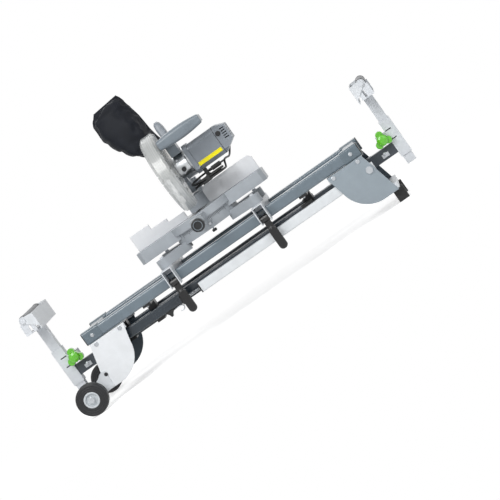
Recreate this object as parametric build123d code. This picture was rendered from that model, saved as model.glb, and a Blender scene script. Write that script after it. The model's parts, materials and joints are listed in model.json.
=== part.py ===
from build123d import *
import math
import os

# Compound mitre saw on a folding, wheeled stand.
# Millimetres. +X along the rails towards the carrying handle, -Y towards the operator, +Z up.
# The stand lies folded on its two wheels and two rubber feet, with Z = 0 at the floor.

# Clearances shared by all pieces
RUN_FIT = 0.05          # radial clearance of a shaft in its bore
SLIDE_GAP = 0.4         # clearance of a sliding tube in its guide
MOVE_GAP = 0.6          # clearance between faces that pass each other
SEAT_GAP = 0.2          # clearance between two seated pieces of one body

# Rails and their end frames
RAIL_LENGTH = 1100.0
RAIL_SPACING = 230.0
RAIL_Z = 225.0
RAIL_WIDTH = 38.0
RAIL_HEIGHT = 40.0
RAIL_WALL = 2.0
RAIL_CORNER = 8.0
SLEEVE_LENGTH = 62.0
SLEEVE_WALL = 2.5
CROSSBAR_WIDTH = 54.0
CROSSBAR_HEIGHT = 24.0
CROSSBAR_ROUND_SHARE = 0.45
RAIL_CAP_FLANGE = 3.0
RAIL_CAP_PLUG = 14.0

# End brackets: a channel web under the sleeves, with a side plate bolted to each flange
WEB_THICKNESS = 4.0
WEB_FLANGE_DEPTH = 20.0
PLATE_THICKNESS = 4.0
PLATE_TOP_INNER_X = 410.0
PLATE_TOP_OUTER_X = 545.0
PLATE_TIP_X = 585.0
PLATE_DROP = 160.0
PLATE_FOOT_LENGTH = 62.0
PLATE_HEEL_X = 426.0
PLATE_HEEL_DROP = 66.0
PLATE_BULGE_SHARE = 0.32
SCREW_RADIUS = 4.0
SCREW_HEAD_RADIUS = 7.5
SCREW_HEAD_HEIGHT = 4.0
SCREW_INSET_X = 20.0

# Wheels and axle
WHEEL_RADIUS = 55.0
WHEEL_WIDTH = 36.0
WHEEL_X = -631.0
WHEEL_TRACK = 390.0
HUB_RADIUS = 27.0
HUB_DISH_RADIUS = 21.0
HUB_BOSS_RADIUS = 12.0
HUB_DISH_DEPTH = 7.0
AXLE_RADIUS = 6.0
AXLE_COLLAR_RADIUS = 10.0
AXLE_END_CAP = 5.0
TREAD_GROOVE = 2.0
TYRE_ROUND = 6.0
WHEEL_BRACKET_THICKNESS = 4.0
WHEEL_BRACKET_EYE = 17.0
WHEEL_BRACKET_INSET = 8.0
WHEEL_BRACKET_FOOT = 30.0
WHEEL_BRACKET_LOW = 2.0
WHEEL_BRACKET_RISE = 62.0
WHEEL_BRACKET_LIP = 14.0
WHEEL_BRACKET_LIP_RISE = 2.0

# Rubber rest feet at the handle end, on a cross tube between the plates
REST_BAR_WIDTH = 22.0
REST_BAR_HEIGHT = 20.0
REST_BAR_INSET = 16.0
REST_FOOT_WIDTH = 38.0
REST_FOOT_LENGTH = 26.0
REST_BAR_RISE = 4.0
REST_FOOT_ROUND = 4.0

# Folding legs: the right pair folds outside the left pair
LEG_HEIGHT = 34.0
LEG_WIDTH = 26.0
LEG_WALL = 2.0
LEG_TAIL = 20.0
LEG_SIDE_GAP = 2.0
LEG_PAIR_GAP = 4.0
LEFT_PIVOT_X = -520.0
LEFT_PIVOT_Z = 158.0
LEFT_LEG_LENGTH = 836.0
RIGHT_PIVOT_X = 541.0
RIGHT_PIVOT_Z = 148.0
RIGHT_LEG_LENGTH = 674.0
PIVOT_RADIUS = 6.0
PIVOT_HEAD_RADIUS = 12.0
PIVOT_HEAD_HEIGHT = 5.0
LEG_CAP_WALL = 2.0
LEG_CAP_GRIP = 28.0
LEG_CAP_END = 12.0
STUD_RADIUS = 5.0
STUD_LENGTH = 52.0
PAD_RADIUS = 17.0
PAD_HEIGHT = 26.0
PAD_TOP_SHARE = 0.72
STUD_PLATE = 4.0

# Extension bars, side by side on the centre line
BAR_WIDTH = 30.0
BAR_HEIGHT = 38.0
BAR_WALL = 2.0
BAR_PITCH = 48.0
BAR_Z = 150.0
BAR_INNER_X = 314.0
GUIDE_WALL = 5.0
GUIDE_LENGTH = 120.0
MID_GUIDE_X = 315.0
MID_GUIDE_LENGTH = 30.0
MID_STRAP_HEIGHT = 8.0

# Work support posts and roller heads
POST_X = 668.0
POST_WIDTH = 33.0
POST_WALL = 2.0
POST_BOTTOM = 80.0
POST_TOP = 343.0
POST_SLEEVE_WALL = 3.0
POST_SLEEVE_BOTTOM = 111.0
POST_SLEEVE_TOP = 248.0
PINCH_SLIT = 4.0
PINCH_EAR_LENGTH = 34.0
PINCH_EAR_HEIGHT = 32.0
PINCH_Z = 195.0
KNOB_STUD_RADIUS = 4.0
KNOB_RADIUS = 32.0
KNOB_LOBE_FRONT = 4.0
KNOB_LOBE_BACK = 3.0
KNOB_HUB_RISE = 4.0
KNOB_LOBE_RADIUS = 13.0
KNOB_LOBES = 3
KNOB_THICKNESS = 24.0
KNOB_HUB_RADIUS = 10.0
HEAD_LENGTH = 294.0
HEAD_SHEET = 4.0
HEAD_WIDTH = 45.0
HEAD_SLOT_INSET = 14.0
HEAD_SLOT_WIDTH = 8.0
HEAD_SLOT_DROP = 22.0
HEAD_LIP = 4.0
EAR_INSET = 1.0
ROLLER_NUT_RISE = 3.0
ROLLER_ROUND = 2.0
ROLLER_RADIUS = 16.0
ROLLER_OFFSET_X = 9.0
ROLLER_HEIGHT = 50.0
ROLLER_AXLE_RADIUS = 5.0
ROLLER_END_GAP = 3.0
STOP_REACH = 37.0
STOP_SHEET = 3.0
STOP_DROP = 54.0
STOP_RISE = 9.0
STOP_BOSS = 12.0
STOP_EAR_RISE = 14.0

# Saw carriage: two mounting beams that clamp on the rails
SAW_X = -6.0
BEAM_SPACING = 362.0
BEAM_WIDTH = 38.0
BEAM_LENGTH = 380.0
BEAM_SHEET = 3.0
BEAM_TOP_Z = 265.0
BEAM_SKIRT_Z = 200.0
BEAM_MIDDLE_Z = 226.0
LEVER_PIVOT_INSET = 24.0
LEVER_PIVOT_Z = 216.0
LEVER_PIN_RADIUS = 4.0
LEVER_CAM_RADIUS = 13.0
LEVER_LENGTH = 118.0
LEVER_WIDTH = 29.0
LEVER_THICKNESS = 13.0
LEVER_ROUND_SHARE = 0.3
LEVER_GRIP_START = 34.0
LEVER_STRIP = 6.0

# Saw base, table and fences
TABLE_Z = 353.0
MITRE_Y = 10.0
BASE_HALF_WIDTH = 252.0
WING_FRONT_Y = -60.0
WING_REAR_Y = 60.0
WING_HEIGHT = 42.0
WING_CHAMFER = 14.0
CORE_RADIUS = 118.0
CORE_BOTTOM_Z = 285.0
CAST_WALL = 9.0
DISC_RADIUS = 128.0
DISC_HUB_SHARE = 0.3
DISC_THICKNESS = 27.0
FOOT_Y = 95.0
FOOT_RADIUS = 24.0
FOOT_HEIGHT = 32.0
FOOT_ROOT_X = 84.0
FOOT_ROOT_Y = 36.0
FOOT_BOLT_RADIUS = 4.0
FOOT_BOLT_HEAD = 7.0
FOOT_NUT_HEIGHT = 8.0
FOOT_BOLT_PAST_NUT = 3.0
FOOT_BOLT_HEAD_HEIGHT = 6.0
FENCE_THICKNESS = 12.0
FENCE_SEAT = 3.0
FENCE_HEIGHT = 58.0
FENCE_OUTER = 246.0
FENCE_GAP = 46.0
FENCE_STEP_HEIGHTS = (40.0, 26.0)
FENCE_STEP_WIDTH = 62.0
FENCE_RIB_DEPTH = 20.0
FENCE_RIB_THICKNESS = 8.0
FENCE_RIB_SHARES = (0.1, 0.32)
FENCE_RIB_HEIGHT = 34.0

# Turntable: mitre arm, kerf plate, bevel yoke
ARM_HALF_WIDTH = 24.0
ARM_FRONT_Y = -232.0
ARM_TOP_DROP = 5.0
ARM_NOSE_Z = 308.0
ARM_NOSE_GAP = 8.0
ARM_NOSE_RUN = 40.0
MITRE_KNOB_Z = 326.0
MITRE_KNOB_RADIUS = 22.0
MITRE_KNOB_DEPTH = 28.0
MITRE_KNOB_ROUND = 5.0
MITRE_KNOB_DISH = 13.0
MITRE_STUD_RADIUS = 5.0
MITRE_STUD_LENGTH = 30.0
KERF_WIDTH = 60.0
KERF_THICKNESS = 3.0
KERF_SLOT = 16.0
KERF_FRONT_Y = -112.0
KERF_REAR_Y = 62.0
DETENT_ROD_RADIUS = 3.0
YOKE_HALF_WIDTH = 38.0
YOKE_DEPTH = 36.0
YOKE_HEIGHT = 45.0
BEVEL_PIN_RADIUS = 8.0
BEVEL_DISC_RADIUS = 40.0
BEVEL_DISC_THICKNESS = 20.0
BEVEL_BLOCK_HALF = 34.0
BEVEL_BLOCK_DEPTH = 46.0
BEVEL_WELL_DROP = 16.0
BEVEL_WELL_HEIGHT = 80.0
BEVEL_WELL_REACH = 40.0
BEVEL_LEVER_RADIUS = 7.0
BEVEL_LEVER_LENGTH = 62.0
BEVEL_LEVER_BOSS = 18.0
BEVEL_LEVER_SEAT = 12.0
BEVEL_LEVER_RISE = 20.0

# Saw head: chop pivot, blade and guards
CHOP_Y = 180.0
CHOP_RISE = 77.0
CHOP_PIN_RADIUS = 8.0
CHOP_BOSS_RADIUS = 24.0
CHOP_ARM_HALF = 20.0
CHOP_ARM_FRONT = 110.0
CHOP_ARM_DROP = 50.0
CHOP_ARM_CREST = 150.0
CHOP_ARM_CREST_RISE = 46.0
CHOP_ARM_BACK = 30.0
CHOP_ARM_BACK_RISE = 70.0
BLADE_Y = -40.0
BLADE_RISE = 154.0
BLADE_RADIUS = 127.0
BLADE_THICKNESS = 2.4
BLADE_TEETH = 40
BLADE_GULLET = 7.0
ARBOR_RADIUS = 7.94
FLANGE_RADIUS = 20.0
FLANGE_THICKNESS = 4.0
ARBOR_BOLT_RADIUS = 9.0
ARBOR_BOLT_HEIGHT = 6.0
UPPER_GUARD_RADIUS = 138.0
UPPER_GUARD_HALF = 20.0
UPPER_GUARD_WALL = 3.0
UPPER_GUARD_SKIRT = 8.0
LOWER_GUARD_RADIUS = 150.0
LOWER_GUARD_HALF = 27.0
LOWER_GUARD_WALL = 2.5
LOWER_GUARD_BEVEL = 10.0
LOWER_GUARD_NOSE_HALF = 17.0
LOWER_GUARD_START = 80.0
LOWER_GUARD_SWEEP = 160.0
GUARD_SLOTS = 5
GUARD_SLOT_START = 0.42
GUARD_SLOT_STEP = 0.08
GUARD_SLOT_WIDTH = 6.0
GUARD_SLOT_LENGTH = 24.0
NECK_RADIUS = 30.0
NECK_RING = 9.0
DUST_PORT_RADIUS = 19.0
DUST_PORT_WALL = 2.5
DUST_PORT_RISE = 83.0
DUST_PORT_END_Y = 112.0

# Gearbox, motor and handle
GEAR_CENTRES = 38.0
GEAR_RADIUS = 28.0
PINION_RADIUS = 9.0
GEAR_FACE = 12.0
GEAR_STANDOFF = 6.0
PINION_STANDOFF = 14.0
GEAR_SIDE_ROOM = 3.0
PINION_SIDE_ROOM = 5.0
GEARBOX_STEP = 8.0
GEARBOX_START = 28.0
GEARBOX_END = 71.0
GEARBOX_WALL = 5.0
GEARBOX_BLADE_RADIUS = 40.0
GEARBOX_MOTOR_RADIUS = 51.0
MOTOR_HALF = 49.0
MOTOR_CHAMFER = 14.0
MOTOR_WALL = 4.0
MOTOR_END = 187.0
MOTOR_FLANGE_HALF = 54.0
MOTOR_FLANGE_LENGTH = 15.0
MOTOR_PANEL_DEPTH = 1.5
MOTOR_PANEL_EDGE = 4.0
MOTOR_LABEL_BAND = 16.0
MOTOR_BEARING_WALL = 6.0
MOTOR_BEARING_LENGTH = 8.0
MOTOR_SPIGOT = 6.0
MOTOR_CAP_LENGTH = 45.0
CAP_TOP_RUN = 35.0
CAP_TOP_DROP = 14.0
CAP_BOTTOM_RISE = 29.0
VENT_ROWS = 5
VENT_PITCH = 8.5
VENT_TOP = 28.0
VENT_INSET = 6.0
VENT_SLOT_WIDTH = 3.6
VENT_SLOT_LENGTH = 16.0
VENT_END_OFFSET = 27.0
VENT_END_LENGTH = 22.0
ARMATURE_RADIUS = 26.0
ARMATURE_SHAFT = 6.0
COMMUTATOR_RADIUS = 15.0
ARMATURE_END_GAP = 1.0
FAN_STANDOFF = 4.0
FAN_THICKNESS = 6.0
CORE_START = 22.0
CORE_END_GAP = 34.0
COMMUTATOR_START_GAP = 28.0
COMMUTATOR_END_GAP = 6.0
FAN_RADIUS = 38.0
GRIP_DEPTH = 36.0
GRIP_HEIGHT = 46.0
GRIP_CORNER = 15.0
GRIP_TAPER = 0.68
GRIP_END_ROUND = 4.0
GRIP_LEFT = 30.0
GRIP_RIGHT = 194.0
GRIP_Y = -153.0
GRIP_RISE = 97.0
HANDLE_ARM = 20.0
HANDLE_ARM_HALF = 12.0
HANDLE_REAR_Y = -92.0
HANDLE_REAR_DEPTH = 18.0
HANDLE_NECK_REAR_Y = -18.0
HANDLE_NECK_RISE = 26.0
TRIGGER_LENGTH = 58.0
TRIGGER_HEIGHT = 14.0
TRIGGER_PROUD = 7.0
TRIGGER_TRAVEL = 5.0
TRIGGER_STEM = 8.0
LOCK_RADIUS = 8.0
LOCK_PROUD = 7.0
LOCK_TRAVEL = 4.0
LOCK_STEM = 12.0

# Dust bag
BAG_WALL = 3.0
BAG_NECK_HALF = 26.0
BAG_NECK_DROP = 24.0
BAG_HEIGHT = 234.0
BAG_TOP_DIP = 6.0
BAG_TOP_INSET = 24.0
BAG_LEAN_LEFT = -146.0
BAG_LEAN_RIGHT = -14.0
BAG_SHOULDER_RISE = 194.0
BAG_WAIST_RISE = 58.0
BAG_WAIST_LEFT = -98.0
BAG_WAIST_RIGHT = 24.0
BAG_FILLET = 14.0

# Mains cord: hank tied under the motor, plug on top of it
CORD_RADIUS = 3.5
HANK_X = 94.0
HANK_Y = -64.0
HANK_DROP = 85.5
HANK_HALF_LENGTH = 62.0
HANK_HALF_WIDTH = 50.0
HANK_WAIST = 4.0
HANK_PITCH = 9.6
HANK_LAYER = 8.4
HANK_TURNS_PER_LAYER = 2
HANK_PLUG_RISE = 13.0
HANK_STEPS = 8
RELIEF_RADIUS = 7.5
RELIEF_LENGTH = 26.0
RELIEF_INSET = 31.0
RELIEF_RISE = 1.0
LEAD_SIDE = 34.0
LEAD_SLANT = 0.55
LEAD_RUN_IN = 26.0
LEAD_DIP = 23.0
LEAD_DIP_LENGTH = 32.0
LEAD_ARCH = 2.0
TIE_WIDTH = 14.0
TIE_THICKNESS = 2.0
TIE_TAB_OFFSET = 30.0
PLUG_LENGTH = 34.0
PLUG_WIDTH = 20.0
PLUG_HEIGHT = 15.0
PLUG_NECK = 12.0
PLUG_NECK_WALL = 1.5
PLUG_CORNER = 5.0
PRONG_LENGTH = 17.0
PRONG_WIDTH = 6.0
PRONG_THICKNESS = 1.6
PRONG_PITCH = 12.0

# Places worked out from the sizes above
RAIL_Y = RAIL_SPACING / 2
RAIL_TOP = RAIL_Z + RAIL_HEIGHT / 2
RAIL_BOTTOM = RAIL_Z - RAIL_HEIGHT / 2
RAIL_END = RAIL_LENGTH / 2
SLEEVE_HALF_W = RAIL_WIDTH / 2 + SEAT_GAP + SLEEVE_WALL
SLEEVE_HALF_H = RAIL_HEIGHT / 2 + SEAT_GAP + SLEEVE_WALL
WEB_TOP = RAIL_Z - SLEEVE_HALF_H
WEB_BOTTOM = WEB_TOP - WEB_THICKNESS
PLATE_Y = RAIL_Y + SLEEVE_HALF_W
PLATE_OUTER_Y = PLATE_Y + PLATE_THICKNESS
PLATE_BOTTOM = WEB_TOP - PLATE_DROP
SCREW_Z = WEB_TOP - WEB_FLANGE_DEPTH / 2
WHEEL_Y = WHEEL_TRACK / 2
RIGHT_LEG_Y = PLATE_Y - LEG_SIDE_GAP - LEG_WIDTH / 2
LEFT_LEG_Y = RIGHT_LEG_Y - LEG_WIDTH - LEG_PAIR_GAP
BAR_Y = BAR_PITCH / 2
POST_SLEEVE_HALF = POST_WIDTH / 2 + SLIDE_GAP + POST_SLEEVE_WALL
PINCH_X = POST_X - POST_SLEEVE_HALF - PINCH_EAR_LENGTH / 2 - 4.0
ROLLER_X = POST_X + ROLLER_OFFSET_X
ROLLER_Z = POST_TOP + ROLLER_HEIGHT
HEAD_END = HEAD_LENGTH / 2
BEAM_X = BEAM_SPACING / 2
LEVER_PIVOT_Y = -BEAM_LENGTH / 2 + LEVER_PIVOT_INSET
WING_BOTTOM = TABLE_Z - WING_HEIGHT
DISC_TOP = TABLE_Z - SEAT_GAP
DISC_BOTTOM = DISC_TOP - DISC_THICKNESS
YOKE_REAR_Y = MITRE_Y + DISC_RADIUS
CHOP_Z = TABLE_Z + CHOP_RISE
BLADE_Z = TABLE_Z + BLADE_RISE
DUST_PORT_Z = BLADE_Z + DUST_PORT_RISE
GRIP_Z = BLADE_Z + GRIP_RISE
BAG_TOP_Z = DUST_PORT_Z + BAG_HEIGHT
BAG_SHOULDER_Z = DUST_PORT_Z + BAG_SHOULDER_RISE
BAG_WAIST_Z = DUST_PORT_Z + BAG_WAIST_RISE
YOKE_FRONT_Y = YOKE_REAR_Y - YOKE_DEPTH
MOTOR_Y = BLADE_Y + GEAR_CENTRES
MOTOR_X0 = SAW_X + GEARBOX_END + MOTOR_SPIGOT
MOTOR_CAP_END = MOTOR_END + MOTOR_CAP_LENGTH
RELIEF_X = MOTOR_END + RELIEF_INSET
RELIEF_Z = BLADE_Z + RELIEF_RISE
HANK_Z = BLADE_Z - HANK_DROP
BAG_REAR_Y = MITRE_KNOB_DEPTH + MOVE_GAP - ARM_FRONT_Y


def box(x0, x1, y0, y1, z0, z1):
    """A block between two corners."""
    size = (abs(x1 - x0), abs(y1 - y0), abs(z1 - z0))
    return Pos((x0 + x1) / 2, (y0 + y1) / 2, (z0 + z1) / 2) * Box(*size)


def rod_x(y, z, radius, x0, x1):
    """A round bar along X."""
    return Pos((x0 + x1) / 2, y, z) * Rot(0, 90, 0) * Cylinder(radius, abs(x1 - x0))


def rod_y(x, z, radius, y0, y1):
    """A round bar along Y."""
    return Pos(x, (y0 + y1) / 2, z) * Rot(90, 0, 0) * Cylinder(radius, abs(y1 - y0))


def rod_z(x, y, radius, z0, z1):
    """A round bar along Z."""
    return Pos(x, y, (z0 + z1) / 2) * Cylinder(radius, abs(z1 - z0))


def sheet_xz(points, y0, y1):
    """An outline in X and Z, from y0 to y1."""
    plane = Plane(origin=(0, y1, 0), x_dir=(1, 0, 0), z_dir=(0, -1, 0))
    return extrude(plane * Polygon(*points, align=None), y1 - y0, dir=(0, -1, 0))


def sheet_yz(points, x0, x1):
    """An outline in Y and Z, from x0 to x1."""
    plane = Plane(origin=(x0, 0, 0), x_dir=(0, 1, 0), z_dir=(1, 0, 0))
    return extrude(plane * Polygon(*points, align=None), x1 - x0, dir=(1, 0, 0))


def tube_x(x0, x1, y, z, width, height, wall, corner=0.0):
    """A rectangular tube along X, with rounded corners where a corner radius is given."""
    plane = Plane(origin=(x0, y, z), x_dir=(0, 1, 0), z_dir=(1, 0, 0))
    inner_corner = max(corner - wall, 0.0)
    outer = RectangleRounded(width, height, corner) if corner else Rectangle(width, height)
    inner_size = (width - 2 * wall, height - 2 * wall)
    inner = RectangleRounded(*inner_size, inner_corner) if inner_corner else Rectangle(*inner_size)
    return extrude(plane * (outer - inner), x1 - x0)


def tube_z(x, y, z0, z1, width, wall):
    """A square tube along Z."""
    section = Rectangle(width, width) - Rectangle(width - 2 * wall, width - 2 * wall)
    return extrude(Plane(origin=(x, y, z0)) * section, z1 - z0)


def front_and_rear(piece):
    """A piece and its mirror image across the middle of the stand."""
    return [piece, mirror(piece, about=Plane.XZ)]


def left_and_right(piece):
    """A piece and its mirror image at the other end of the stand."""
    return [piece, mirror(piece, about=Plane.YZ)]


# Stand frame

def rails():
    front = tube_x(-RAIL_END, RAIL_END, -RAIL_Y, RAIL_Z, RAIL_WIDTH, RAIL_HEIGHT, RAIL_WALL, RAIL_CORNER)
    return front_and_rear(front)


def end_frames():
    """Two sleeves joined by a flat cross bar, at each end of the rails."""
    x0 = RAIL_END - SLEEVE_LENGTH
    width = 2 * SLEEVE_HALF_W
    height = 2 * SLEEVE_HALF_H
    sleeve = tube_x(x0, RAIL_END, -RAIL_Y, RAIL_Z, width, height, SLEEVE_WALL, RAIL_CORNER)
    top = RAIL_Z + SLEEVE_HALF_H - RAIL_CORNER / 2
    middle = RAIL_END - SLEEVE_LENGTH / 2
    reach = RAIL_Y - SLEEVE_HALF_W + SLEEVE_WALL / 2
    half = CROSSBAR_WIDTH / 2
    bar = box(middle - half, middle + half, -reach, reach, top - CROSSBAR_HEIGHT, top)
    long_edges = bar.edges().filter_by(Axis.Y)
    bar = fillet(long_edges, CROSSBAR_HEIGHT * CROSSBAR_ROUND_SHARE)
    frame = bar + sleeve + mirror(sleeve, about=Plane.XZ)
    return left_and_right(frame)


def plate_outline():
    """The end plate's outline: straight top and outer edge, one arc on the inner lower side."""
    foot_x = PLATE_TIP_X - PLATE_FOOT_LENGTH
    heel = (PLATE_HEEL_X, WEB_TOP - PLATE_HEEL_DROP)
    foot = (foot_x, PLATE_BOTTOM)
    bulge_x = heel[0] + (foot[0] - heel[0]) * PLATE_BULGE_SHARE
    bulge_z = foot[1] + (heel[1] - foot[1]) * PLATE_BULGE_SHARE
    corners = [
        heel,
        (PLATE_TOP_INNER_X, WEB_TOP),
        (PLATE_TOP_OUTER_X, WEB_TOP),
        (PLATE_TIP_X, PLATE_BOTTOM),
        foot,
    ]
    edges = Polyline(*corners) + ThreePointArc(foot, (bulge_x, bulge_z), heel)
    return make_face(edges)


def end_plate(y0, y1, hole_x, hole_z):
    """One side plate at the +X end, with its screw holes and a pivot hole."""
    plane = Plane(origin=(0, y1, 0), x_dir=(1, 0, 0), z_dir=(0, -1, 0))
    plate = extrude(plane * plate_outline(), y1 - y0, dir=(0, -1, 0))
    for x in (PLATE_TOP_INNER_X + SCREW_INSET_X, PLATE_TOP_OUTER_X - SCREW_INSET_X):
        plate -= rod_y(x, SCREW_Z, SCREW_RADIUS + RUN_FIT, y0 - 1, y1 + 1)
    if hole_x is not None:
        plate -= rod_y(hole_x, hole_z, PIVOT_RADIUS + RUN_FIT, y0 - 1, y1 + 1)
    return plate


def end_plates():
    right = end_plate(-PLATE_OUTER_Y, -PLATE_Y, RIGHT_PIVOT_X, RIGHT_PIVOT_Z)
    left = mirror(end_plate(-PLATE_OUTER_Y, -PLATE_Y, None, None), about=Plane.YZ)
    return front_and_rear(right) + front_and_rear(left)


def web():
    """The channel under the sleeves at the +X end, with a flange down each side."""
    x0 = PLATE_TOP_INNER_X
    x1 = PLATE_TOP_OUTER_X
    piece = box(x0, x1, -PLATE_Y, PLATE_Y, WEB_BOTTOM, WEB_TOP)
    for side in (-1, 1):
        outer = side * PLATE_Y
        inner = side * (PLATE_Y - WEB_THICKNESS)
        piece += box(x0, x1, outer, inner, WEB_TOP - WEB_FLANGE_DEPTH, WEB_TOP)
    for x in (x0 + SCREW_INSET_X, x1 - SCREW_INSET_X):
        piece -= rod_y(x, SCREW_Z, SCREW_RADIUS + RUN_FIT, -PLATE_Y - 1, PLATE_Y + 1)
    return piece


def wheel_bracket():
    """A flat arm outside the front left plate that carries the axle."""
    y0 = -PLATE_OUTER_Y - WHEEL_BRACKET_THICKNESS
    plate_edge = -PLATE_TOP_OUTER_X - WHEEL_BRACKET_INSET
    bracket_top = PLATE_BOTTOM + WHEEL_BRACKET_RISE
    outline = [
        (WHEEL_X, WHEEL_RADIUS - WHEEL_BRACKET_EYE),
        (-PLATE_TIP_X + WHEEL_BRACKET_FOOT, PLATE_BOTTOM + WHEEL_BRACKET_LOW),
        (plate_edge, bracket_top),
        (plate_edge - WHEEL_BRACKET_LIP, bracket_top + WHEEL_BRACKET_LIP_RISE),
        (WHEEL_X, WHEEL_RADIUS + WHEEL_BRACKET_EYE),
    ]
    arm = sheet_xz(outline, y0, -PLATE_OUTER_Y)
    arm += rod_y(WHEEL_X, WHEEL_RADIUS, WHEEL_BRACKET_EYE, y0, -PLATE_OUTER_Y)
    return arm - rod_y(WHEEL_X, WHEEL_RADIUS, AXLE_RADIUS + RUN_FIT, y0 - 1, -PLATE_OUTER_Y + 1)


def rest_bar():
    """The cross tube between the right plates that carries the rubber feet."""
    x1 = PLATE_TIP_X - REST_BAR_INSET + REST_BAR_WIDTH
    z0 = PLATE_BOTTOM + REST_BAR_RISE
    return box(x1 - REST_BAR_WIDTH, x1, -PLATE_Y, PLATE_Y, z0, z0 + REST_BAR_HEIGHT)


def end_brackets():
    return left_and_right(web()) + front_and_rear(wheel_bracket()) + [rest_bar()]


def screw_y(x, z, y_head, y_tip, side):
    """A screw along Y with its head outside y_head."""
    shank = rod_y(x, z, SCREW_RADIUS, y_head, y_tip)
    head = rod_y(x, z, SCREW_HEAD_RADIUS, y_head, y_head + side * SCREW_HEAD_HEIGHT)
    head = fillet(head.faces().sort_by(Axis.Y)[0 if side < 0 else -1].edges(), SCREW_HEAD_HEIGHT / 2)
    return shank + head


def right_pivot():
    """A shoulder bolt through a right plate and its leg, with a nut inside."""
    inner = -(RIGHT_LEG_Y - LEG_WIDTH / 2)
    bolt = rod_y(RIGHT_PIVOT_X, RIGHT_PIVOT_Z, PIVOT_RADIUS, -PLATE_OUTER_Y, inner + LEG_PAIR_GAP - MOVE_GAP)
    head_y = -PLATE_OUTER_Y - PIVOT_HEAD_HEIGHT
    bolt += rod_y(RIGHT_PIVOT_X, RIGHT_PIVOT_Z, PIVOT_HEAD_RADIUS, head_y, -PLATE_OUTER_Y)
    nut = rod_y(RIGHT_PIVOT_X, RIGHT_PIVOT_Z, PIVOT_HEAD_RADIUS, inner + MOVE_GAP, inner + LEG_PAIR_GAP - MOVE_GAP)
    washer_y = -PLATE_Y + LEG_SIDE_GAP - MOVE_GAP
    washer = rod_y(RIGHT_PIVOT_X, RIGHT_PIVOT_Z, PIVOT_HEAD_RADIUS, -PLATE_Y, washer_y)
    return bolt + nut + washer


def left_pivot():
    """A stud welded inside a left plate, with a spacer collar, and a nut beyond the leg."""
    outer = -(LEFT_LEG_Y + LEG_WIDTH / 2)
    inner = -(LEFT_LEG_Y - LEG_WIDTH / 2)
    end = inner + MOVE_GAP + PIVOT_HEAD_HEIGHT
    stud = rod_y(LEFT_PIVOT_X, LEFT_PIVOT_Z, PIVOT_RADIUS, -PLATE_Y, end)
    stud += rod_y(LEFT_PIVOT_X, LEFT_PIVOT_Z, PIVOT_HEAD_RADIUS, -PLATE_Y, outer - MOVE_GAP)
    return stud + rod_y(LEFT_PIVOT_X, LEFT_PIVOT_Z, PIVOT_HEAD_RADIUS, inner + MOVE_GAP, end)


def axle():
    """The wheel axle, with a collar inside each wheel and a cap outside."""
    hub_inner = WHEEL_Y - WHEEL_WIDTH / 2
    hub_outer = WHEEL_Y + WHEEL_WIDTH / 2
    end = hub_outer + AXLE_END_CAP
    shaft = rod_y(WHEEL_X, WHEEL_RADIUS, AXLE_RADIUS, -end, end)
    bracket_y = PLATE_OUTER_Y + WHEEL_BRACKET_THICKNESS
    for side in (-1, 1):
        collar = (side * bracket_y, side * (hub_inner - MOVE_GAP))
        cap = (side * (hub_outer + MOVE_GAP), side * end)
        shaft += rod_y(WHEEL_X, WHEEL_RADIUS, AXLE_COLLAR_RADIUS, *collar)
        shaft += rod_y(WHEEL_X, WHEEL_RADIUS, AXLE_COLLAR_RADIUS, *cap)
    return shaft


def frame_fasteners():
    """Plate screws, leg pivots and the wheel axle."""
    pieces = [axle()]
    tip = PLATE_Y - WEB_THICKNESS
    for x in (PLATE_TOP_INNER_X + SCREW_INSET_X, PLATE_TOP_OUTER_X - SCREW_INSET_X):
        pieces += front_and_rear(screw_y(x, SCREW_Z, -PLATE_OUTER_Y, -tip, -1))
        pieces += front_and_rear(screw_y(-x, SCREW_Z, -PLATE_OUTER_Y, -tip, -1))
    return pieces + front_and_rear(right_pivot()) + front_and_rear(left_pivot())


def bar_guide(x0, x1, y, top):
    """A block that hangs from the frame and guides one extension bar."""
    half_w = BAR_WIDTH / 2 + SLIDE_GAP
    half_h = BAR_HEIGHT / 2 + SLIDE_GAP
    outer_w = half_w + GUIDE_WALL
    block = box(x0, x1, y - outer_w, y + outer_w, BAR_Z - half_h - GUIDE_WALL, top)
    return block - box(x0 - 1, x1 + 1, y - half_w, y + half_w, BAR_Z - half_h, BAR_Z + half_h)


def mid_guide(side):
    """A strap across the rail undersides with a hanging guide for one bar."""
    centre = side * MID_GUIDE_X
    x0 = centre - MID_GUIDE_LENGTH / 2
    x1 = centre + MID_GUIDE_LENGTH / 2
    reach = RAIL_Y + RAIL_WIDTH / 2 - RAIL_CORNER
    strap = box(x0, x1, -reach, reach, RAIL_BOTTOM - MID_STRAP_HEIGHT, RAIL_BOTTOM)
    return strap + bar_guide(x0, x1, side * BAR_Y, RAIL_BOTTOM)


def rail_cap():
    """A plug in the front right rail end with a flange over the sleeve's mouth."""
    x0 = RAIL_END - RAIL_CAP_PLUG
    inner = (RAIL_WIDTH - 2 * RAIL_WALL - 2 * SEAT_GAP, RAIL_HEIGHT - 2 * RAIL_WALL - 2 * SEAT_GAP)
    corner = RAIL_CORNER - RAIL_WALL
    plane = Plane(origin=(x0, -RAIL_Y, RAIL_Z), x_dir=(0, 1, 0), z_dir=(1, 0, 0))
    plug = extrude(plane * RectangleRounded(*inner, corner), RAIL_CAP_PLUG)
    mouth = Plane(origin=(RAIL_END, -RAIL_Y, RAIL_Z), x_dir=(0, 1, 0), z_dir=(1, 0, 0))
    flange = RectangleRounded(2 * SLEEVE_HALF_W, 2 * SLEEVE_HALF_H, RAIL_CORNER)
    return plug + extrude(mouth * flange, RAIL_CAP_FLANGE)


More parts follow.
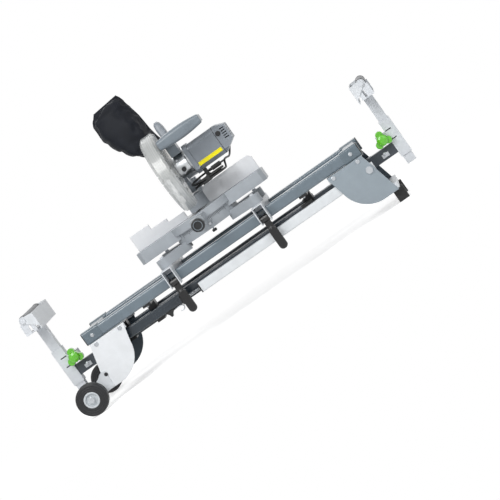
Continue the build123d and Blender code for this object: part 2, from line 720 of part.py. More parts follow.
def plastic_guides():
    """Bar guides at the ends and in the middle, and the caps in the rail ends."""
    middle = (PLATE_TOP_INNER_X + PLATE_TOP_OUTER_X) / 2
    half = GUIDE_LENGTH / 2
    pieces = [
        bar_guide(-middle - half, -middle + half, -BAR_Y, WEB_BOTTOM),
        bar_guide(middle - half, middle + half, BAR_Y, WEB_BOTTOM),
        mid_guide(-1),
        mid_guide(1),
    ]
    for cap in left_and_right(rail_cap()):
        pieces += front_and_rear(cap)
    return pieces


def rest_feet():
    """Two rubber blocks under the cross tube at the handle end."""
    bar_x = PLATE_TIP_X - REST_BAR_INSET + REST_BAR_WIDTH / 2
    half = REST_FOOT_WIDTH / 2
    top = PLATE_BOTTOM + REST_BAR_RISE
    foot = box(bar_x - half, bar_x + half, -LEFT_LEG_Y - REST_FOOT_LENGTH / 2,
               -LEFT_LEG_Y + REST_FOOT_LENGTH / 2, 0.0, top)
    foot = fillet(foot.edges().filter_by(Axis.Z), REST_FOOT_ROUND)
    return front_and_rear(foot)


# Wheels

def tyre(y):
    """A solid tyre with two tread grooves and stepped side walls."""
    half = WHEEL_WIDTH / 2
    body = rod_y(WHEEL_X, WHEEL_RADIUS, WHEEL_RADIUS, y - half, y + half)
    body = fillet(body.edges().filter_by(GeomType.CIRCLE), TYRE_ROUND)
    body -= rod_y(WHEEL_X, WHEEL_RADIUS, HUB_RADIUS, y - half - 1, y + half + 1)
    for offset in (-half / 3, half / 3):
        groove = rod_y(WHEEL_X, WHEEL_RADIUS, WHEEL_RADIUS + 1, y + offset - 1, y + offset + 1)
        groove -= rod_y(WHEEL_X, WHEEL_RADIUS, WHEEL_RADIUS - TREAD_GROOVE, y - half, y + half)
        body -= groove
    return body


def hub(y):
    """A dished hub with a raised boss round the axle bore."""
    half = WHEEL_WIDTH / 2
    body = rod_y(WHEEL_X, WHEEL_RADIUS, HUB_RADIUS, y - half, y + half)
    for side in (-1, 1):
        face = y + side * half
        dish = rod_y(WHEEL_X, WHEEL_RADIUS, HUB_DISH_RADIUS, face + side, face - side * HUB_DISH_DEPTH)
        dish -= rod_y(WHEEL_X, WHEEL_RADIUS, HUB_BOSS_RADIUS, face + 2 * side, face - 2 * side * HUB_DISH_DEPTH)
        body -= dish
    return body - rod_y(WHEEL_X, WHEEL_RADIUS, AXLE_RADIUS + RUN_FIT, y - half - 1, y + half + 1)


# Legs

def leg_left():
    """The front left leg, folded to the right."""
    x0 = LEFT_PIVOT_X - LEG_TAIL
    x1 = LEFT_PIVOT_X + LEFT_LEG_LENGTH
    tube = tube_x(x0, x1, -LEFT_LEG_Y, LEFT_PIVOT_Z, LEG_WIDTH, LEG_HEIGHT, LEG_WALL, LEG_WALL * 2)
    bore = rod_y(LEFT_PIVOT_X, LEFT_PIVOT_Z, PIVOT_RADIUS + RUN_FIT, -PLATE_Y, 0)
    return tube - bore


def leg_right():
    """The front right leg, folded to the left outside the left leg."""
    x0 = RIGHT_PIVOT_X - RIGHT_LEG_LENGTH
    x1 = RIGHT_PIVOT_X + LEG_TAIL
    tube = tube_x(x0, x1, -RIGHT_LEG_Y, RIGHT_PIVOT_Z, LEG_WIDTH, LEG_HEIGHT, LEG_WALL, LEG_WALL * 2)
    bore = rod_y(RIGHT_PIVOT_X, RIGHT_PIVOT_Z, PIVOT_RADIUS + RUN_FIT, -PLATE_Y, 0)
    return tube - bore


def leg_cap(x_end, y, z, side):
    """A rubber boot over the end of a leg tube; side gives the way that it points."""
    x_in = x_end - side * LEG_CAP_GRIP
    x_out = x_end + side * LEG_CAP_END
    grow = SEAT_GAP + LEG_CAP_WALL
    half_w = LEG_WIDTH / 2
    half_h = LEG_HEIGHT / 2
    boot = box(x_in, x_out, y - half_w - grow, y + half_w + grow, z - half_h - grow, z + half_h + grow)
    boot = fillet(boot.edges().filter_by(Axis.X), LEG_WALL * 2)
    hole_w = half_w + SEAT_GAP
    hole_h = half_h + SEAT_GAP
    return boot - box(x_in - side, x_end, y - hole_w, y + hole_w, z - hole_h, z + hole_h)


def foot_left():
    return leg_cap(LEFT_PIVOT_X + LEFT_LEG_LENGTH, -LEFT_LEG_Y, LEFT_PIVOT_Z, 1)


def foot_right():
    """A levelling foot: an insert in the tube, a threaded stud and a bell-shaped rubber pad."""
    x_end = RIGHT_PIVOT_X - RIGHT_LEG_LENGTH
    y = -RIGHT_LEG_Y
    half_w = LEG_WIDTH / 2 - LEG_WALL - SEAT_GAP
    half_h = LEG_HEIGHT / 2 - LEG_WALL - SEAT_GAP
    foot = box(x_end, x_end + LEG_CAP_GRIP, y - half_w, y + half_w,
               RIGHT_PIVOT_Z - half_h, RIGHT_PIVOT_Z + half_h)
    foot = fillet(foot.edges().filter_by(Axis.X), LEG_WALL)
    grow = LEG_WALL + SEAT_GAP
    foot += box(x_end - STUD_PLATE, x_end, y - half_w - grow, y + half_w + grow,
                RIGHT_PIVOT_Z - half_h - grow, RIGHT_PIVOT_Z + half_h + grow)
    foot += rod_x(y, RIGHT_PIVOT_Z, STUD_RADIUS, x_end - STUD_LENGTH, x_end)
    pad_base = x_end - STUD_LENGTH
    plane = Plane(origin=(pad_base, y, RIGHT_PIVOT_Z), x_dir=(0, 1, 0), z_dir=(-1, 0, 0))
    pad = extrude(plane * Circle(PAD_RADIUS * PAD_TOP_SHARE), PAD_HEIGHT, taper=-10)
    return foot + pad


# Extension bars, posts and roller heads, drawn for the left end

def ext_bar():
    x0 = -POST_X + POST_SLEEVE_HALF
    return tube_x(x0, BAR_INNER_X, -BAR_Y, BAR_Z, BAR_WIDTH, BAR_HEIGHT, BAR_WALL)


def post_sleeve():
    """A square sleeve, slit above the bar and pinched by the knob between two ears."""
    half = POST_SLEEVE_HALF
    sleeve = tube_z(-POST_X, -BAR_Y, POST_SLEEVE_BOTTOM, POST_SLEEVE_TOP, 2 * half, POST_SLEEVE_WALL)
    face = -POST_X + half
    ear_end = -PINCH_X + PINCH_EAR_LENGTH / 2
    z0 = PINCH_Z - PINCH_EAR_HEIGHT / 2
    z1 = PINCH_Z + PINCH_EAR_HEIGHT / 2
    sleeve += box(face - POST_SLEEVE_WALL / 2, ear_end, -BAR_Y - half, -BAR_Y + half, z0, z1)
    slit = PINCH_SLIT / 2
    sleeve -= box(face - 2 * POST_SLEEVE_WALL, ear_end + 1, -BAR_Y - slit, -BAR_Y + slit,
                  z0 - 1, POST_SLEEVE_TOP + 1)
    return sleeve - rod_y(-PINCH_X, PINCH_Z, KNOB_STUD_RADIUS + RUN_FIT, -BAR_Y - half - 1, -BAR_Y + half + 1)


def pinch_knob():
    """A lobed hand knob in front of the ears, with its stud through both."""
    front = -BAR_Y - POST_SLEEVE_HALF - MOVE_GAP
    back = -BAR_Y + POST_SLEEVE_HALF
    y0 = front - KNOB_THICKNESS
    ring = KNOB_RADIUS - KNOB_LOBE_RADIUS
    knob = rod_y(-PINCH_X, PINCH_Z, ring, y0, front)
    for lobe in range(KNOB_LOBES):
        angle = math.radians(90 + lobe * 360 / KNOB_LOBES)
        x = -PINCH_X + ring * math.cos(angle)
        z = PINCH_Z + ring * math.sin(angle)
        knob += rod_y(x, z, KNOB_LOBE_RADIUS, y0 + KNOB_LOBE_FRONT, front - KNOB_LOBE_BACK)
    knob += rod_y(-PINCH_X, PINCH_Z, KNOB_HUB_RADIUS, y0 - KNOB_HUB_RISE, y0)
    return knob + rod_y(-PINCH_X, PINCH_Z, KNOB_STUD_RADIUS, front, back)


def post():
    return tube_z(-POST_X, -BAR_Y, POST_BOTTOM, POST_TOP, POST_WIDTH, POST_WALL)


def roller_head():
    """A folded sheet saddle on the post, with a slotted ear at each end and the roller's axle."""
    x0 = -ROLLER_X - ROLLER_RADIUS - HEAD_LIP
    x1 = x0 + HEAD_WIDTH
    base = box(x0, x1, -HEAD_END, HEAD_END, POST_TOP, POST_TOP + HEAD_SHEET)
    for side in (-1, 1):
        outer = side * HEAD_END
        inner = side * (HEAD_END - HEAD_SHEET)
        low, high = min(outer, inner), max(outer, inner)
        ear = box(x0, x1, low, high, POST_TOP, ROLLER_Z - ROLLER_RADIUS / 2)
        ear_half = ROLLER_RADIUS - EAR_INSET
        ear += rod_y(-ROLLER_X, ROLLER_Z, ear_half, low, high)
        ear += box(-ROLLER_X - ear_half, -ROLLER_X + ear_half, low, high, ROLLER_Z - ROLLER_RADIUS, ROLLER_Z)
        base += ear
        slot_x = x1 - HEAD_SLOT_INSET
        base -= box(slot_x - HEAD_SLOT_WIDTH, slot_x, low - 1, high + 1, POST_TOP - 1, ROLLER_Z - HEAD_SLOT_DROP)
    end = HEAD_END + MOVE_GAP + STOP_SHEET + MOVE_GAP
    axle_rod = rod_y(-ROLLER_X, ROLLER_Z, ROLLER_AXLE_RADIUS, -end, end)
    for side in (-1, 1):
        axle_rod += rod_y(-ROLLER_X, ROLLER_Z, ROLLER_AXLE_RADIUS + ROLLER_NUT_RISE, side * end,
                          side * (end + ROLLER_NUT_RISE))
    return base + axle_rod


def roller():
    half = HEAD_END - HEAD_SHEET - ROLLER_END_GAP
    body = rod_y(-ROLLER_X, ROLLER_Z, ROLLER_RADIUS, -half, half)
    body = fillet(body.edges().filter_by(GeomType.CIRCLE), ROLLER_ROUND)
    return body - rod_y(-ROLLER_X, ROLLER_Z, ROLLER_AXLE_RADIUS + RUN_FIT, -half - 1, half + 1)


def flip_stop():
    """A stop plate that hangs inside the roller and swings over it on the roller's axle."""
    x_in = -ROLLER_X + STOP_REACH
    x_out = x_in + STOP_SHEET
    z0 = ROLLER_Z - STOP_DROP
    z1 = ROLLER_Z + STOP_RISE
    end = HEAD_END + MOVE_GAP
    stop = box(x_in, x_out, -end - STOP_SHEET, end + STOP_SHEET, z0, z1)
    for side in (-1, 1):
        low = min(side * end, side * (end + STOP_SHEET))
        high = low + STOP_SHEET
        ear = rod_y(-ROLLER_X, ROLLER_Z, STOP_BOSS, low, high)
        outline = [
            (-ROLLER_X, ROLLER_Z + STOP_BOSS),
            (-ROLLER_X, ROLLER_Z - STOP_BOSS),
            (x_in, z0 + STOP_EAR_RISE),
            (x_out, z0),
            (x_out, z1),
        ]
        ear += sheet_xz(outline, low, high)
        stop += ear
    return stop - rod_y(-ROLLER_X, ROLLER_Z, ROLLER_AXLE_RADIUS + RUN_FIT, -end - 10, end + 10)


def at_right(piece):
    """Turns a left-end piece half a turn about Z, to the right end."""
    return Rot(0, 0, 180) * piece


def knob_at_right(piece):
    """Moves the left clamp knob to the right post; both face the front."""
    return Pos(2 * PINCH_X, 2 * BAR_Y, 0) * piece


# Saw carriage

def mount_beam(x):
    """An inverted channel that saddles both rails, open at its ends."""
    half = BEAM_WIDTH / 2
    end = BEAM_LENGTH / 2
    beam = box(x - half, x + half, -end, end, BEAM_SKIRT_Z, BEAM_TOP_Z)
    beam -= box(x - half + BEAM_SHEET, x + half - BEAM_SHEET, -end - 1, end + 1,
                BEAM_SKIRT_Z - 1, BEAM_TOP_Z - BEAM_SHEET)
    notch = RAIL_WIDTH / 2 + MOVE_GAP
    for y in (-RAIL_Y, RAIL_Y):
        beam -= box(x - half - 1, x + half + 1, y - notch, y + notch, BEAM_SKIRT_Z - 1, RAIL_TOP + MOVE_GAP)
    middle = RAIL_Y - notch
    beam -= box(x - half - 1, x + half + 1, -middle - 1, middle + 1, BEAM_SKIRT_Z - 1, BEAM_MIDDLE_Z)
    for y in (-FOOT_Y, FOOT_Y):
        beam -= rod_z(x, y, FOOT_BOLT_RADIUS + SEAT_GAP, BEAM_TOP_Z - 2 * BEAM_SHEET, BEAM_TOP_Z + 1)
    return beam - rod_x(LEVER_PIVOT_Y, LEVER_PIVOT_Z, LEVER_PIN_RADIUS + RUN_FIT, x - half - 1, x + half + 1)


def rail_shoe(x, y):
    """A sliding shoe between a beam's top and a rail."""
    half = BEAM_WIDTH / 2 - BEAM_SHEET - SEAT_GAP
    reach = RAIL_WIDTH / 2 - RAIL_CORNER
    return box(x - half, x + half, y - reach, y + reach, RAIL_TOP, BEAM_TOP_Z - BEAM_SHEET)


def foot_bolt(x, y):
    """A bolt down through a saw foot and a beam, with a nut under the beam's top."""
    top = BEAM_TOP_Z + FOOT_HEIGHT
    low = BEAM_TOP_Z - BEAM_SHEET - FOOT_NUT_HEIGHT
    bolt = rod_z(x, y, FOOT_BOLT_RADIUS, low - FOOT_BOLT_PAST_NUT, top)
    bolt += rod_z(x, y, FOOT_BOLT_HEAD, top, top + FOOT_BOLT_HEAD_HEIGHT)
    return bolt + rod_z(x, y, FOOT_BOLT_HEAD, low, BEAM_TOP_Z - BEAM_SHEET)


def mount_beams():
    """Both beams with their rail shoes, lever pins and the saw's bolts."""
    pieces = []
    for x in (SAW_X - BEAM_X, SAW_X + BEAM_X):
        pieces.append(mount_beam(x))
        half = BEAM_WIDTH / 2
        pieces.append(rod_x(LEVER_PIVOT_Y, LEVER_PIVOT_Z, LEVER_PIN_RADIUS, x - half - 2, x + half + 2))
        pieces += [rail_shoe(x, -RAIL_Y), rail_shoe(x, RAIL_Y)]
        pieces += [foot_bolt(x, -FOOT_Y), foot_bolt(x, FOOT_Y)]
    return pieces


def clamp_lever(x):
    """A cam on its pin with a strip and a rounded grip hanging down in front of the rail."""
    half = LEVER_WIDTH / 2
    y = LEVER_PIVOT_Y
    z = LEVER_PIVOT_Z
    lever = rod_x(y, z, LEVER_CAM_RADIUS, x - half, x + half)
    strip = LEVER_STRIP / 2
    lever += box(x - half + 3, x + half - 3, y - strip, y + strip, z - LEVER_GRIP_START - 2, z)
    low = z - LEVER_LENGTH
    high = z - LEVER_GRIP_START
    thick = LEVER_THICKNESS / 2
    plane = Plane(origin=(x, y + thick, (low + high) / 2), x_dir=(1, 0, 0), z_dir=(0, -1, 0))
    grip = extrude(plane * RectangleRounded(LEVER_WIDTH, high - low, half - 1), LEVER_THICKNESS)
    grip = fillet(grip.edges().filter_by(Plane.XZ), LEVER_THICKNESS * LEVER_ROUND_SHARE)
    return lever + grip - rod_x(y, z, LEVER_PIN_RADIUS + RUN_FIT, x - half - 1, x + half + 1)


def saw_base():
    """Cast base: two table wings, a round core under the turntable and four splayed feet."""
    half = BASE_HALF_WIDTH
    wings = box(SAW_X - half, SAW_X + half, WING_FRONT_Y, WING_REAR_Y, WING_BOTTOM, TABLE_Z)
    wings = chamfer(wings.edges().filter_by(Axis.Z), WING_CHAMFER)
    base = wings + rod_z(SAW_X, MITRE_Y, CORE_RADIUS, CORE_BOTTOM_Z, DISC_BOTTOM - SEAT_GAP)
    for sx in (-1, 1):
        for sy in (-1, 1):
            foot = (SAW_X + sx * BEAM_X, sy * FOOT_Y)
            root = (SAW_X + sx * FOOT_ROOT_X, sy * FOOT_ROOT_Y)
            length = math.dist(foot, root)
            angle = math.degrees(math.atan2(foot[1] - root[1], foot[0] - root[0]))
            middle = ((foot[0] + root[0]) / 2, (foot[1] + root[1]) / 2, BEAM_TOP_Z)
            arm = extrude(SlotCenterToCenter(length, 2 * FOOT_RADIUS), FOOT_HEIGHT)
            base += Pos(*middle) * Rot(0, 0, angle) * arm
            knee_top = WING_BOTTOM + WING_HEIGHT / 2
            base += rod_z(*root, FOOT_RADIUS, BEAM_TOP_Z, knee_top)
            base -= rod_z(*foot, FOOT_BOLT_RADIUS + SEAT_GAP, BEAM_TOP_Z - 1, BEAM_TOP_Z + FOOT_HEIGHT + 1)
    pocket_r = DISC_RADIUS + MOVE_GAP
    pocket = rod_z(SAW_X, MITRE_Y, pocket_r, DISC_BOTTOM - SEAT_GAP, TABLE_Z + 1)
    floor = DISC_BOTTOM - SEAT_GAP - CAST_WALL
    hollow = rod_z(SAW_X, MITRE_Y, CORE_RADIUS - CAST_WALL, BEAM_TOP_Z - 1, floor)
    for sx in (-1, 1):
        inner = SAW_X + sx * (pocket_r + CAST_WALL)
        outer = SAW_X + sx * (half - CAST_WALL)
        hollow += box(inner, outer, WING_FRONT_Y + CAST_WALL, WING_REAR_Y - CAST_WALL,
                      WING_BOTTOM - 1, TABLE_Z - CAST_WALL)
    ledge = box(SAW_X - half - 1, SAW_X + half + 1, MITRE_Y, WING_REAR_Y + 1, TABLE_Z - FENCE_SEAT, TABLE_Z + 1)
    return base - pocket - hollow - ledge


def fence_half(side):
    """One fence on its wing's ledge, over a dust groove; the left one steps down towards the blade."""
    y0 = MITRE_Y
    y1 = MITRE_Y + FENCE_THICKNESS
    inner = SAW_X + side * FENCE_GAP
    outer = SAW_X + side * FENCE_OUTER
    fence = box(min(inner, outer), max(inner, outer), y0, y1, TABLE_Z, TABLE_Z + FENCE_HEIGHT)
    if side < 0:
        for index, height in enumerate(FENCE_STEP_HEIGHTS):
            edge = inner - FENCE_STEP_WIDTH * (len(FENCE_STEP_HEIGHTS) - index)
            fence -= box(edge, inner + 1, y0 - 1, y1 + 1, TABLE_Z + height, TABLE_Z + FENCE_HEIGHT + 1)
    else:
        corner = fence.edges().filter_by(Axis.Y).group_by(Axis.Z)[-1]
        fence = chamfer(corner, FENCE_THICKNESS)
    wing = SAW_X + side * (DISC_RADIUS + 2 * MOVE_GAP)
    ledge_z = TABLE_Z - FENCE_SEAT
    fence += box(min(wing, outer), max(wing, outer), y0 + FENCE_SEAT, y1, ledge_z, TABLE_Z)
    rib_z = TABLE_Z + FENCE_RIB_HEIGHT
    for share in FENCE_RIB_SHARES:
        x = outer + (inner - outer) * share
        rib = [(y1, ledge_z), (y1 + FENCE_RIB_DEPTH, ledge_z), (y1, rib_z)]
        fence += sheet_yz(rib, x - FENCE_RIB_THICKNESS / 2, x + FENCE_RIB_THICKNESS / 2)
    return fence


def fences():
    return [fence_half(-1), fence_half(1)]


# Turntable and bevel arm

def turntable():
    """The mitre table with its front arm, the rear yoke and the bevel pin."""
    disc = rod_z(SAW_X, MITRE_Y, DISC_RADIUS, DISC_BOTTOM, DISC_TOP)
    half = ARM_HALF_WIDTH
    arm_top = TABLE_Z - ARM_TOP_DROP
    disc += box(SAW_X - half, SAW_X + half, ARM_FRONT_Y, MITRE_Y - DISC_RADIUS + 30, DISC_BOTTOM, arm_top)
    nose_rear = MITRE_Y - CORE_RADIUS - ARM_NOSE_GAP
    nose = [
        (ARM_FRONT_Y, ARM_NOSE_Z),
        (ARM_FRONT_Y, arm_top - 1),
        (nose_rear, arm_top - 1),
        (nose_rear, DISC_BOTTOM - 2),
        (ARM_FRONT_Y + ARM_NOSE_RUN, ARM_NOSE_Z),
    ]
    disc += sheet_yz(nose, SAW_X - half + 3, SAW_X + half - 3)
    kerf_half = KERF_WIDTH / 2 + SEAT_GAP
    disc -= box(SAW_X - kerf_half, SAW_X + kerf_half, KERF_FRONT_Y - SEAT_GAP, KERF_REAR_Y + SEAT_GAP,
                DISC_TOP - KERF_THICKNESS, DISC_TOP + 1)
    slot = KERF_SLOT / 2 + SEAT_GAP
    disc -= box(SAW_X - slot, SAW_X + slot, KERF_FRONT_Y + 14, KERF_REAR_Y - 14, DISC_BOTTOM - 1, DISC_TOP)
    under = rod_z(SAW_X, MITRE_Y, DISC_RADIUS - CAST_WALL, DISC_BOTTOM - 1, DISC_TOP - CAST_WALL)
    under -= rod_z(SAW_X, MITRE_Y, DISC_RADIUS * DISC_HUB_SHARE, DISC_BOTTOM - 2, DISC_TOP)
    under -= box(SAW_X - half, SAW_X + half, ARM_FRONT_Y, MITRE_Y, DISC_BOTTOM - 2, DISC_TOP)
    disc -= under
    disc += box(SAW_X - YOKE_HALF_WIDTH, SAW_X + YOKE_HALF_WIDTH, YOKE_FRONT_Y, YOKE_REAR_Y,
                DISC_BOTTOM, TABLE_Z + YOKE_HEIGHT)
    disc -= rod_y(SAW_X, MITRE_KNOB_Z, MITRE_STUD_RADIUS + RUN_FIT, ARM_FRONT_Y - 1,
                  ARM_FRONT_Y + MITRE_STUD_LENGTH + 2)
    bevel_end = YOKE_REAR_Y + MOVE_GAP + BEVEL_DISC_THICKNESS
    disc += rod_y(SAW_X, TABLE_Z, BEVEL_PIN_RADIUS, YOKE_REAR_Y - 1, bevel_end)
    return disc


def kerf_plate():
    plate = box(SAW_X - KERF_WIDTH / 2, SAW_X + KERF_WIDTH / 2, KERF_FRONT_Y, KERF_REAR_Y,
                DISC_TOP - KERF_THICKNESS, DISC_TOP)
    slot = KERF_SLOT / 2
    return plate - box(SAW_X - slot, SAW_X + slot, KERF_FRONT_Y + 16, KERF_REAR_Y - 16,
                       DISC_TOP - KERF_THICKNESS - 1, DISC_TOP + 1)


def mitre_knob():
    """A round grip with a dished face on the end of the mitre arm, and its locking stud."""
    back = ARM_FRONT_Y - MOVE_GAP
    front = back - MITRE_KNOB_DEPTH
    knob = rod_y(SAW_X, MITRE_KNOB_Z, MITRE_KNOB_RADIUS, front, back)
    knob = fillet(knob.edges().filter_by(GeomType.CIRCLE), MITRE_KNOB_ROUND)
    knob -= rod_y(SAW_X, MITRE_KNOB_Z, MITRE_KNOB_DISH, front - 1, front + 5)
    return knob + rod_y(SAW_X, MITRE_KNOB_Z, MITRE_STUD_RADIUS, back - 2, ARM_FRONT_Y + MITRE_STUD_LENGTH)


def bevel_arm():
    """The tilting casting behind the yoke, with two cheeks that hold the chop pin."""
    y0 = YOKE_REAR_Y + MOVE_GAP
    y1 = y0 + BEVEL_DISC_THICKNESS
    arm = rod_y(SAW_X, TABLE_Z, BEVEL_DISC_RADIUS, y0, y1)
    half = BEVEL_BLOCK_HALF
    rear = y1 + BEVEL_BLOCK_DEPTH
    cheek = [
        (y1 - 6, TABLE_Z - 8),
        (rear - 8, TABLE_Z + 4),
        (CHOP_Y + CHOP_BOSS_RADIUS, CHOP_Z),
        (CHOP_Y + CHOP_BOSS_RADIUS * 0.5, CHOP_Z + CHOP_BOSS_RADIUS * 0.8),
        (CHOP_Y - CHOP_BOSS_RADIUS * 0.5, CHOP_Z + CHOP_BOSS_RADIUS * 0.8),
        (y0 + 2, TABLE_Z + 30),
    ]
    block = sheet_yz(cheek, SAW_X - half, SAW_X + half)
    gap = CHOP_ARM_HALF + MOVE_GAP
    well = rod_x(CHOP_Y, CHOP_Z, CHOP_BOSS_RADIUS + 4, SAW_X - gap, SAW_X + gap)
    well += box(SAW_X - gap, SAW_X + gap, y0 - 4, CHOP_Y,
                CHOP_Z - CHOP_BOSS_RADIUS - BEVEL_WELL_DROP, CHOP_Z + BEVEL_WELL_HEIGHT)
    well += box(SAW_X - gap, SAW_X + gap, CHOP_Y - 1, rear + BEVEL_WELL_REACH,
                CHOP_Z - 4, CHOP_Z + BEVEL_WELL_HEIGHT)
    arm += block - well
    arm -= rod_y(SAW_X, TABLE_Z, BEVEL_PIN_RADIUS + RUN_FIT, y0 - 1, y1)
    lever_y = (y1 + rear) / 2
    arm -= rod_x(lever_y, TABLE_Z + BEVEL_LEVER_RISE, BEVEL_LEVER_RADIUS + RUN_FIT,
                 SAW_X + half - BEVEL_LEVER_SEAT - 2, SAW_X + half + 1)
    pin_end = half + 3
    pin = rod_x(CHOP_Y, CHOP_Z, CHOP_PIN_RADIUS, SAW_X - pin_end, SAW_X + pin_end)
    return arm + pin


def bevel_lever():
    """A clamp lever on the right of the bevel arm, pointing up and back."""
    y1 = YOKE_REAR_Y + MOVE_GAP + BEVEL_DISC_THICKNESS
    y = y1 + BEVEL_BLOCK_DEPTH / 2
    z = TABLE_Z + BEVEL_LEVER_RISE
    x0 = SAW_X + BEVEL_BLOCK_HALF
    boss = x0 + BEVEL_LEVER_BOSS
    middle = x0 + BEVEL_LEVER_BOSS - BEVEL_LEVER_RADIUS
    lever = rod_x(y, z, BEVEL_LEVER_RADIUS, x0 - BEVEL_LEVER_SEAT, boss)
    lever += rod_x(y, z, BEVEL_LEVER_RADIUS + 4, x0 + MOVE_GAP, boss)
    tip = Pos(middle, y, z) * Rot(-60, 0, 0) * Pos(0, 0, BEVEL_LEVER_LENGTH / 2)
    shaft = tip * Cylinder(BEVEL_LEVER_RADIUS, BEVEL_LEVER_LENGTH)
    ball = Pos(middle, y, z) * Rot(-60, 0, 0) * Pos(0, 0, BEVEL_LEVER_LENGTH) * Sphere(BEVEL_LEVER_RADIUS + 3)
    return lever + shaft + ball


# Saw head

def head_arm():
    """The chop arm from the pivot boss to the back of the upper guard."""
    half = CHOP_ARM_HALF
    outline = [
        (BLADE_Y + CHOP_ARM_FRONT, BLADE_Z - CHOP_ARM_DROP),
        (CHOP_Y - 6, CHOP_Z - CHOP_BOSS_RADIUS + 2),
        (CHOP_Y + CHOP_BOSS_RADIUS * 0.8, CHOP_Z + 12),
        (CHOP_Y - CHOP_ARM_BACK, CHOP_Z + CHOP_ARM_BACK_RISE),
        (BLADE_Y + CHOP_ARM_CREST, BLADE_Z + CHOP_ARM_CREST_RISE),
        (BLADE_Y + CHOP_ARM_FRONT, BLADE_Z + CHOP_ARM_DROP),
    ]
    arm = sheet_yz(outline, SAW_X - half, SAW_X + half)
    arm += rod_x(CHOP_Y, CHOP_Z, CHOP_BOSS_RADIUS, SAW_X - half, SAW_X + half)
    clear = UPPER_GUARD_RADIUS
    arm -= rod_x(BLADE_Y, BLADE_Z, clear, SAW_X - half - 1, SAW_X + half + 1)
    return arm - rod_x(CHOP_Y, CHOP_Z, CHOP_PIN_RADIUS + RUN_FIT, SAW_X - half - 1, SAW_X + half + 1)


def upper_guard():
    """The fixed guard over the top half of the blade, with its dust port to the rear."""
    half = UPPER_GUARD_HALF
    wall = UPPER_GUARD_WALL
    guard = rod_x(BLADE_Y, BLADE_Z, UPPER_GUARD_RADIUS, SAW_X - half, SAW_X + half)
    port = rod_y(SAW_X, DUST_PORT_Z, DUST_PORT_RADIUS, BLADE_Y + 60, DUST_PORT_END_Y)
    guard += port
    guard -= rod_y(SAW_X, DUST_PORT_Z, DUST_PORT_RADIUS - DUST_PORT_WALL, BLADE_Y + 60, DUST_PORT_END_Y + 1)
    guard -= rod_x(BLADE_Y, BLADE_Z, UPPER_GUARD_RADIUS - wall, SAW_X - half + wall, SAW_X + half - wall)
    reach = UPPER_GUARD_RADIUS + 20
    guard -= box(SAW_X - half - 1, SAW_X + half + 1, BLADE_Y - reach, BLADE_Y + reach,
                 BLADE_Z - reach, BLADE_Z - UPPER_GUARD_SKIRT)
    return guard - rod_x(BLADE_Y, BLADE_Z, NECK_RADIUS, SAW_X - half - 1, SAW_X + half + 1)


def lower_guard():
    """The see-through guard that turns on the gearbox neck, open at the back of the blade."""
    half = LOWER_GUARD_HALF
    wall = LOWER_GUARD_WALL
    r = LOWER_GUARD_RADIUS
    shoulder = r - LOWER_GUARD_BEVEL
    nose = LOWER_GUARD_NOSE_HALF
    inner = NECK_RADIUS + RUN_FIT
    outer_line = [(-half, inner), (-half, shoulder), (-nose, r), (nose, r), (half, shoulder), (half, inner)]
    inner_line = [
        (half - wall, inner),
        (half - wall, shoulder - wall / 2),
        (nose, r - wall),
        (-nose, r - wall),
        (-half + wall, shoulder - wall / 2),
        (-half + wall, inner),
    ]
    section = make_face(Polyline(*outer_line, *inner_line, close=True))
    guard = revolve(section, axis=Axis.X, revolution_arc=LOWER_GUARD_SWEEP)
    guard = Rot(LOWER_GUARD_START, 0, 0) * guard
    for side in (-1, 1):
        x0 = side * half if side < 0 else half - wall
        ring = rod_x(0, 0, inner + NECK_RING, x0, x0 + wall)
        guard += ring - rod_x(0, 0, inner, x0 - 1, x0 + wall + 1)
    for slot in range(GUARD_SLOTS):
        angle = LOWER_GUARD_START + LOWER_GUARD_SWEEP * (GUARD_SLOT_START + GUARD_SLOT_STEP * slot)
        cut = Pos(0, (r + shoulder) / 2 - 14, 0) * Box(4 * half, GUARD_SLOT_LENGTH, GUARD_SLOT_WIDTH)
        guard -= Rot(angle, 0, 0) * cut
    return Pos(SAW_X, BLADE_Y, BLADE_Z) * guard


def blade():
    """A 254 mm toothed blade."""
    points = []
    for tooth in range(BLADE_TEETH):
        base = 360 / BLADE_TEETH * tooth
        for share, radius in ((0.0, BLADE_RADIUS), (0.35, BLADE_RADIUS - 1.5), (0.5, BLADE_RADIUS - BLADE_GULLET)):
            angle = math.radians(base + share * 360 / BLADE_TEETH)
            points.append((BLADE_Y + radius * math.cos(angle), BLADE_Z + radius * math.sin(angle)))
    half = BLADE_THICKNESS / 2
    disc = sheet_yz(points, SAW_X - half, SAW_X + half)
    return disc - rod_x(BLADE_Y, BLADE_Z, ARBOR_RADIUS + RUN_FIT, SAW_X - half - 1, SAW_X + half + 1)


def spindle():
    """The arbor with its two blade flanges, bolt and reduction gear."""
    half = BLADE_THICKNESS / 2
    gear_x0 = SAW_X + GEARBOX_START + GEARBOX_WALL + GEAR_STANDOFF
    shaft_end = gear_x0 + GEAR_FACE + GEAR_STANDOFF
    shaft = rod_x(BLADE_Y, BLADE_Z, ARBOR_RADIUS, SAW_X - half - FLANGE_THICKNESS, shaft_end)
    for x in (SAW_X - half - FLANGE_THICKNESS, SAW_X + half):
        shaft += rod_x(BLADE_Y, BLADE_Z, FLANGE_RADIUS, x, x + FLANGE_THICKNESS)
    bolt_x = SAW_X - half - FLANGE_THICKNESS
    shaft += rod_x(BLADE_Y, BLADE_Z, ARBOR_BOLT_RADIUS, bolt_x - ARBOR_BOLT_HEIGHT, bolt_x)
    return shaft + rod_x(BLADE_Y, BLADE_Z, GEAR_RADIUS, gear_x0, gear_x0 + GEAR_FACE)


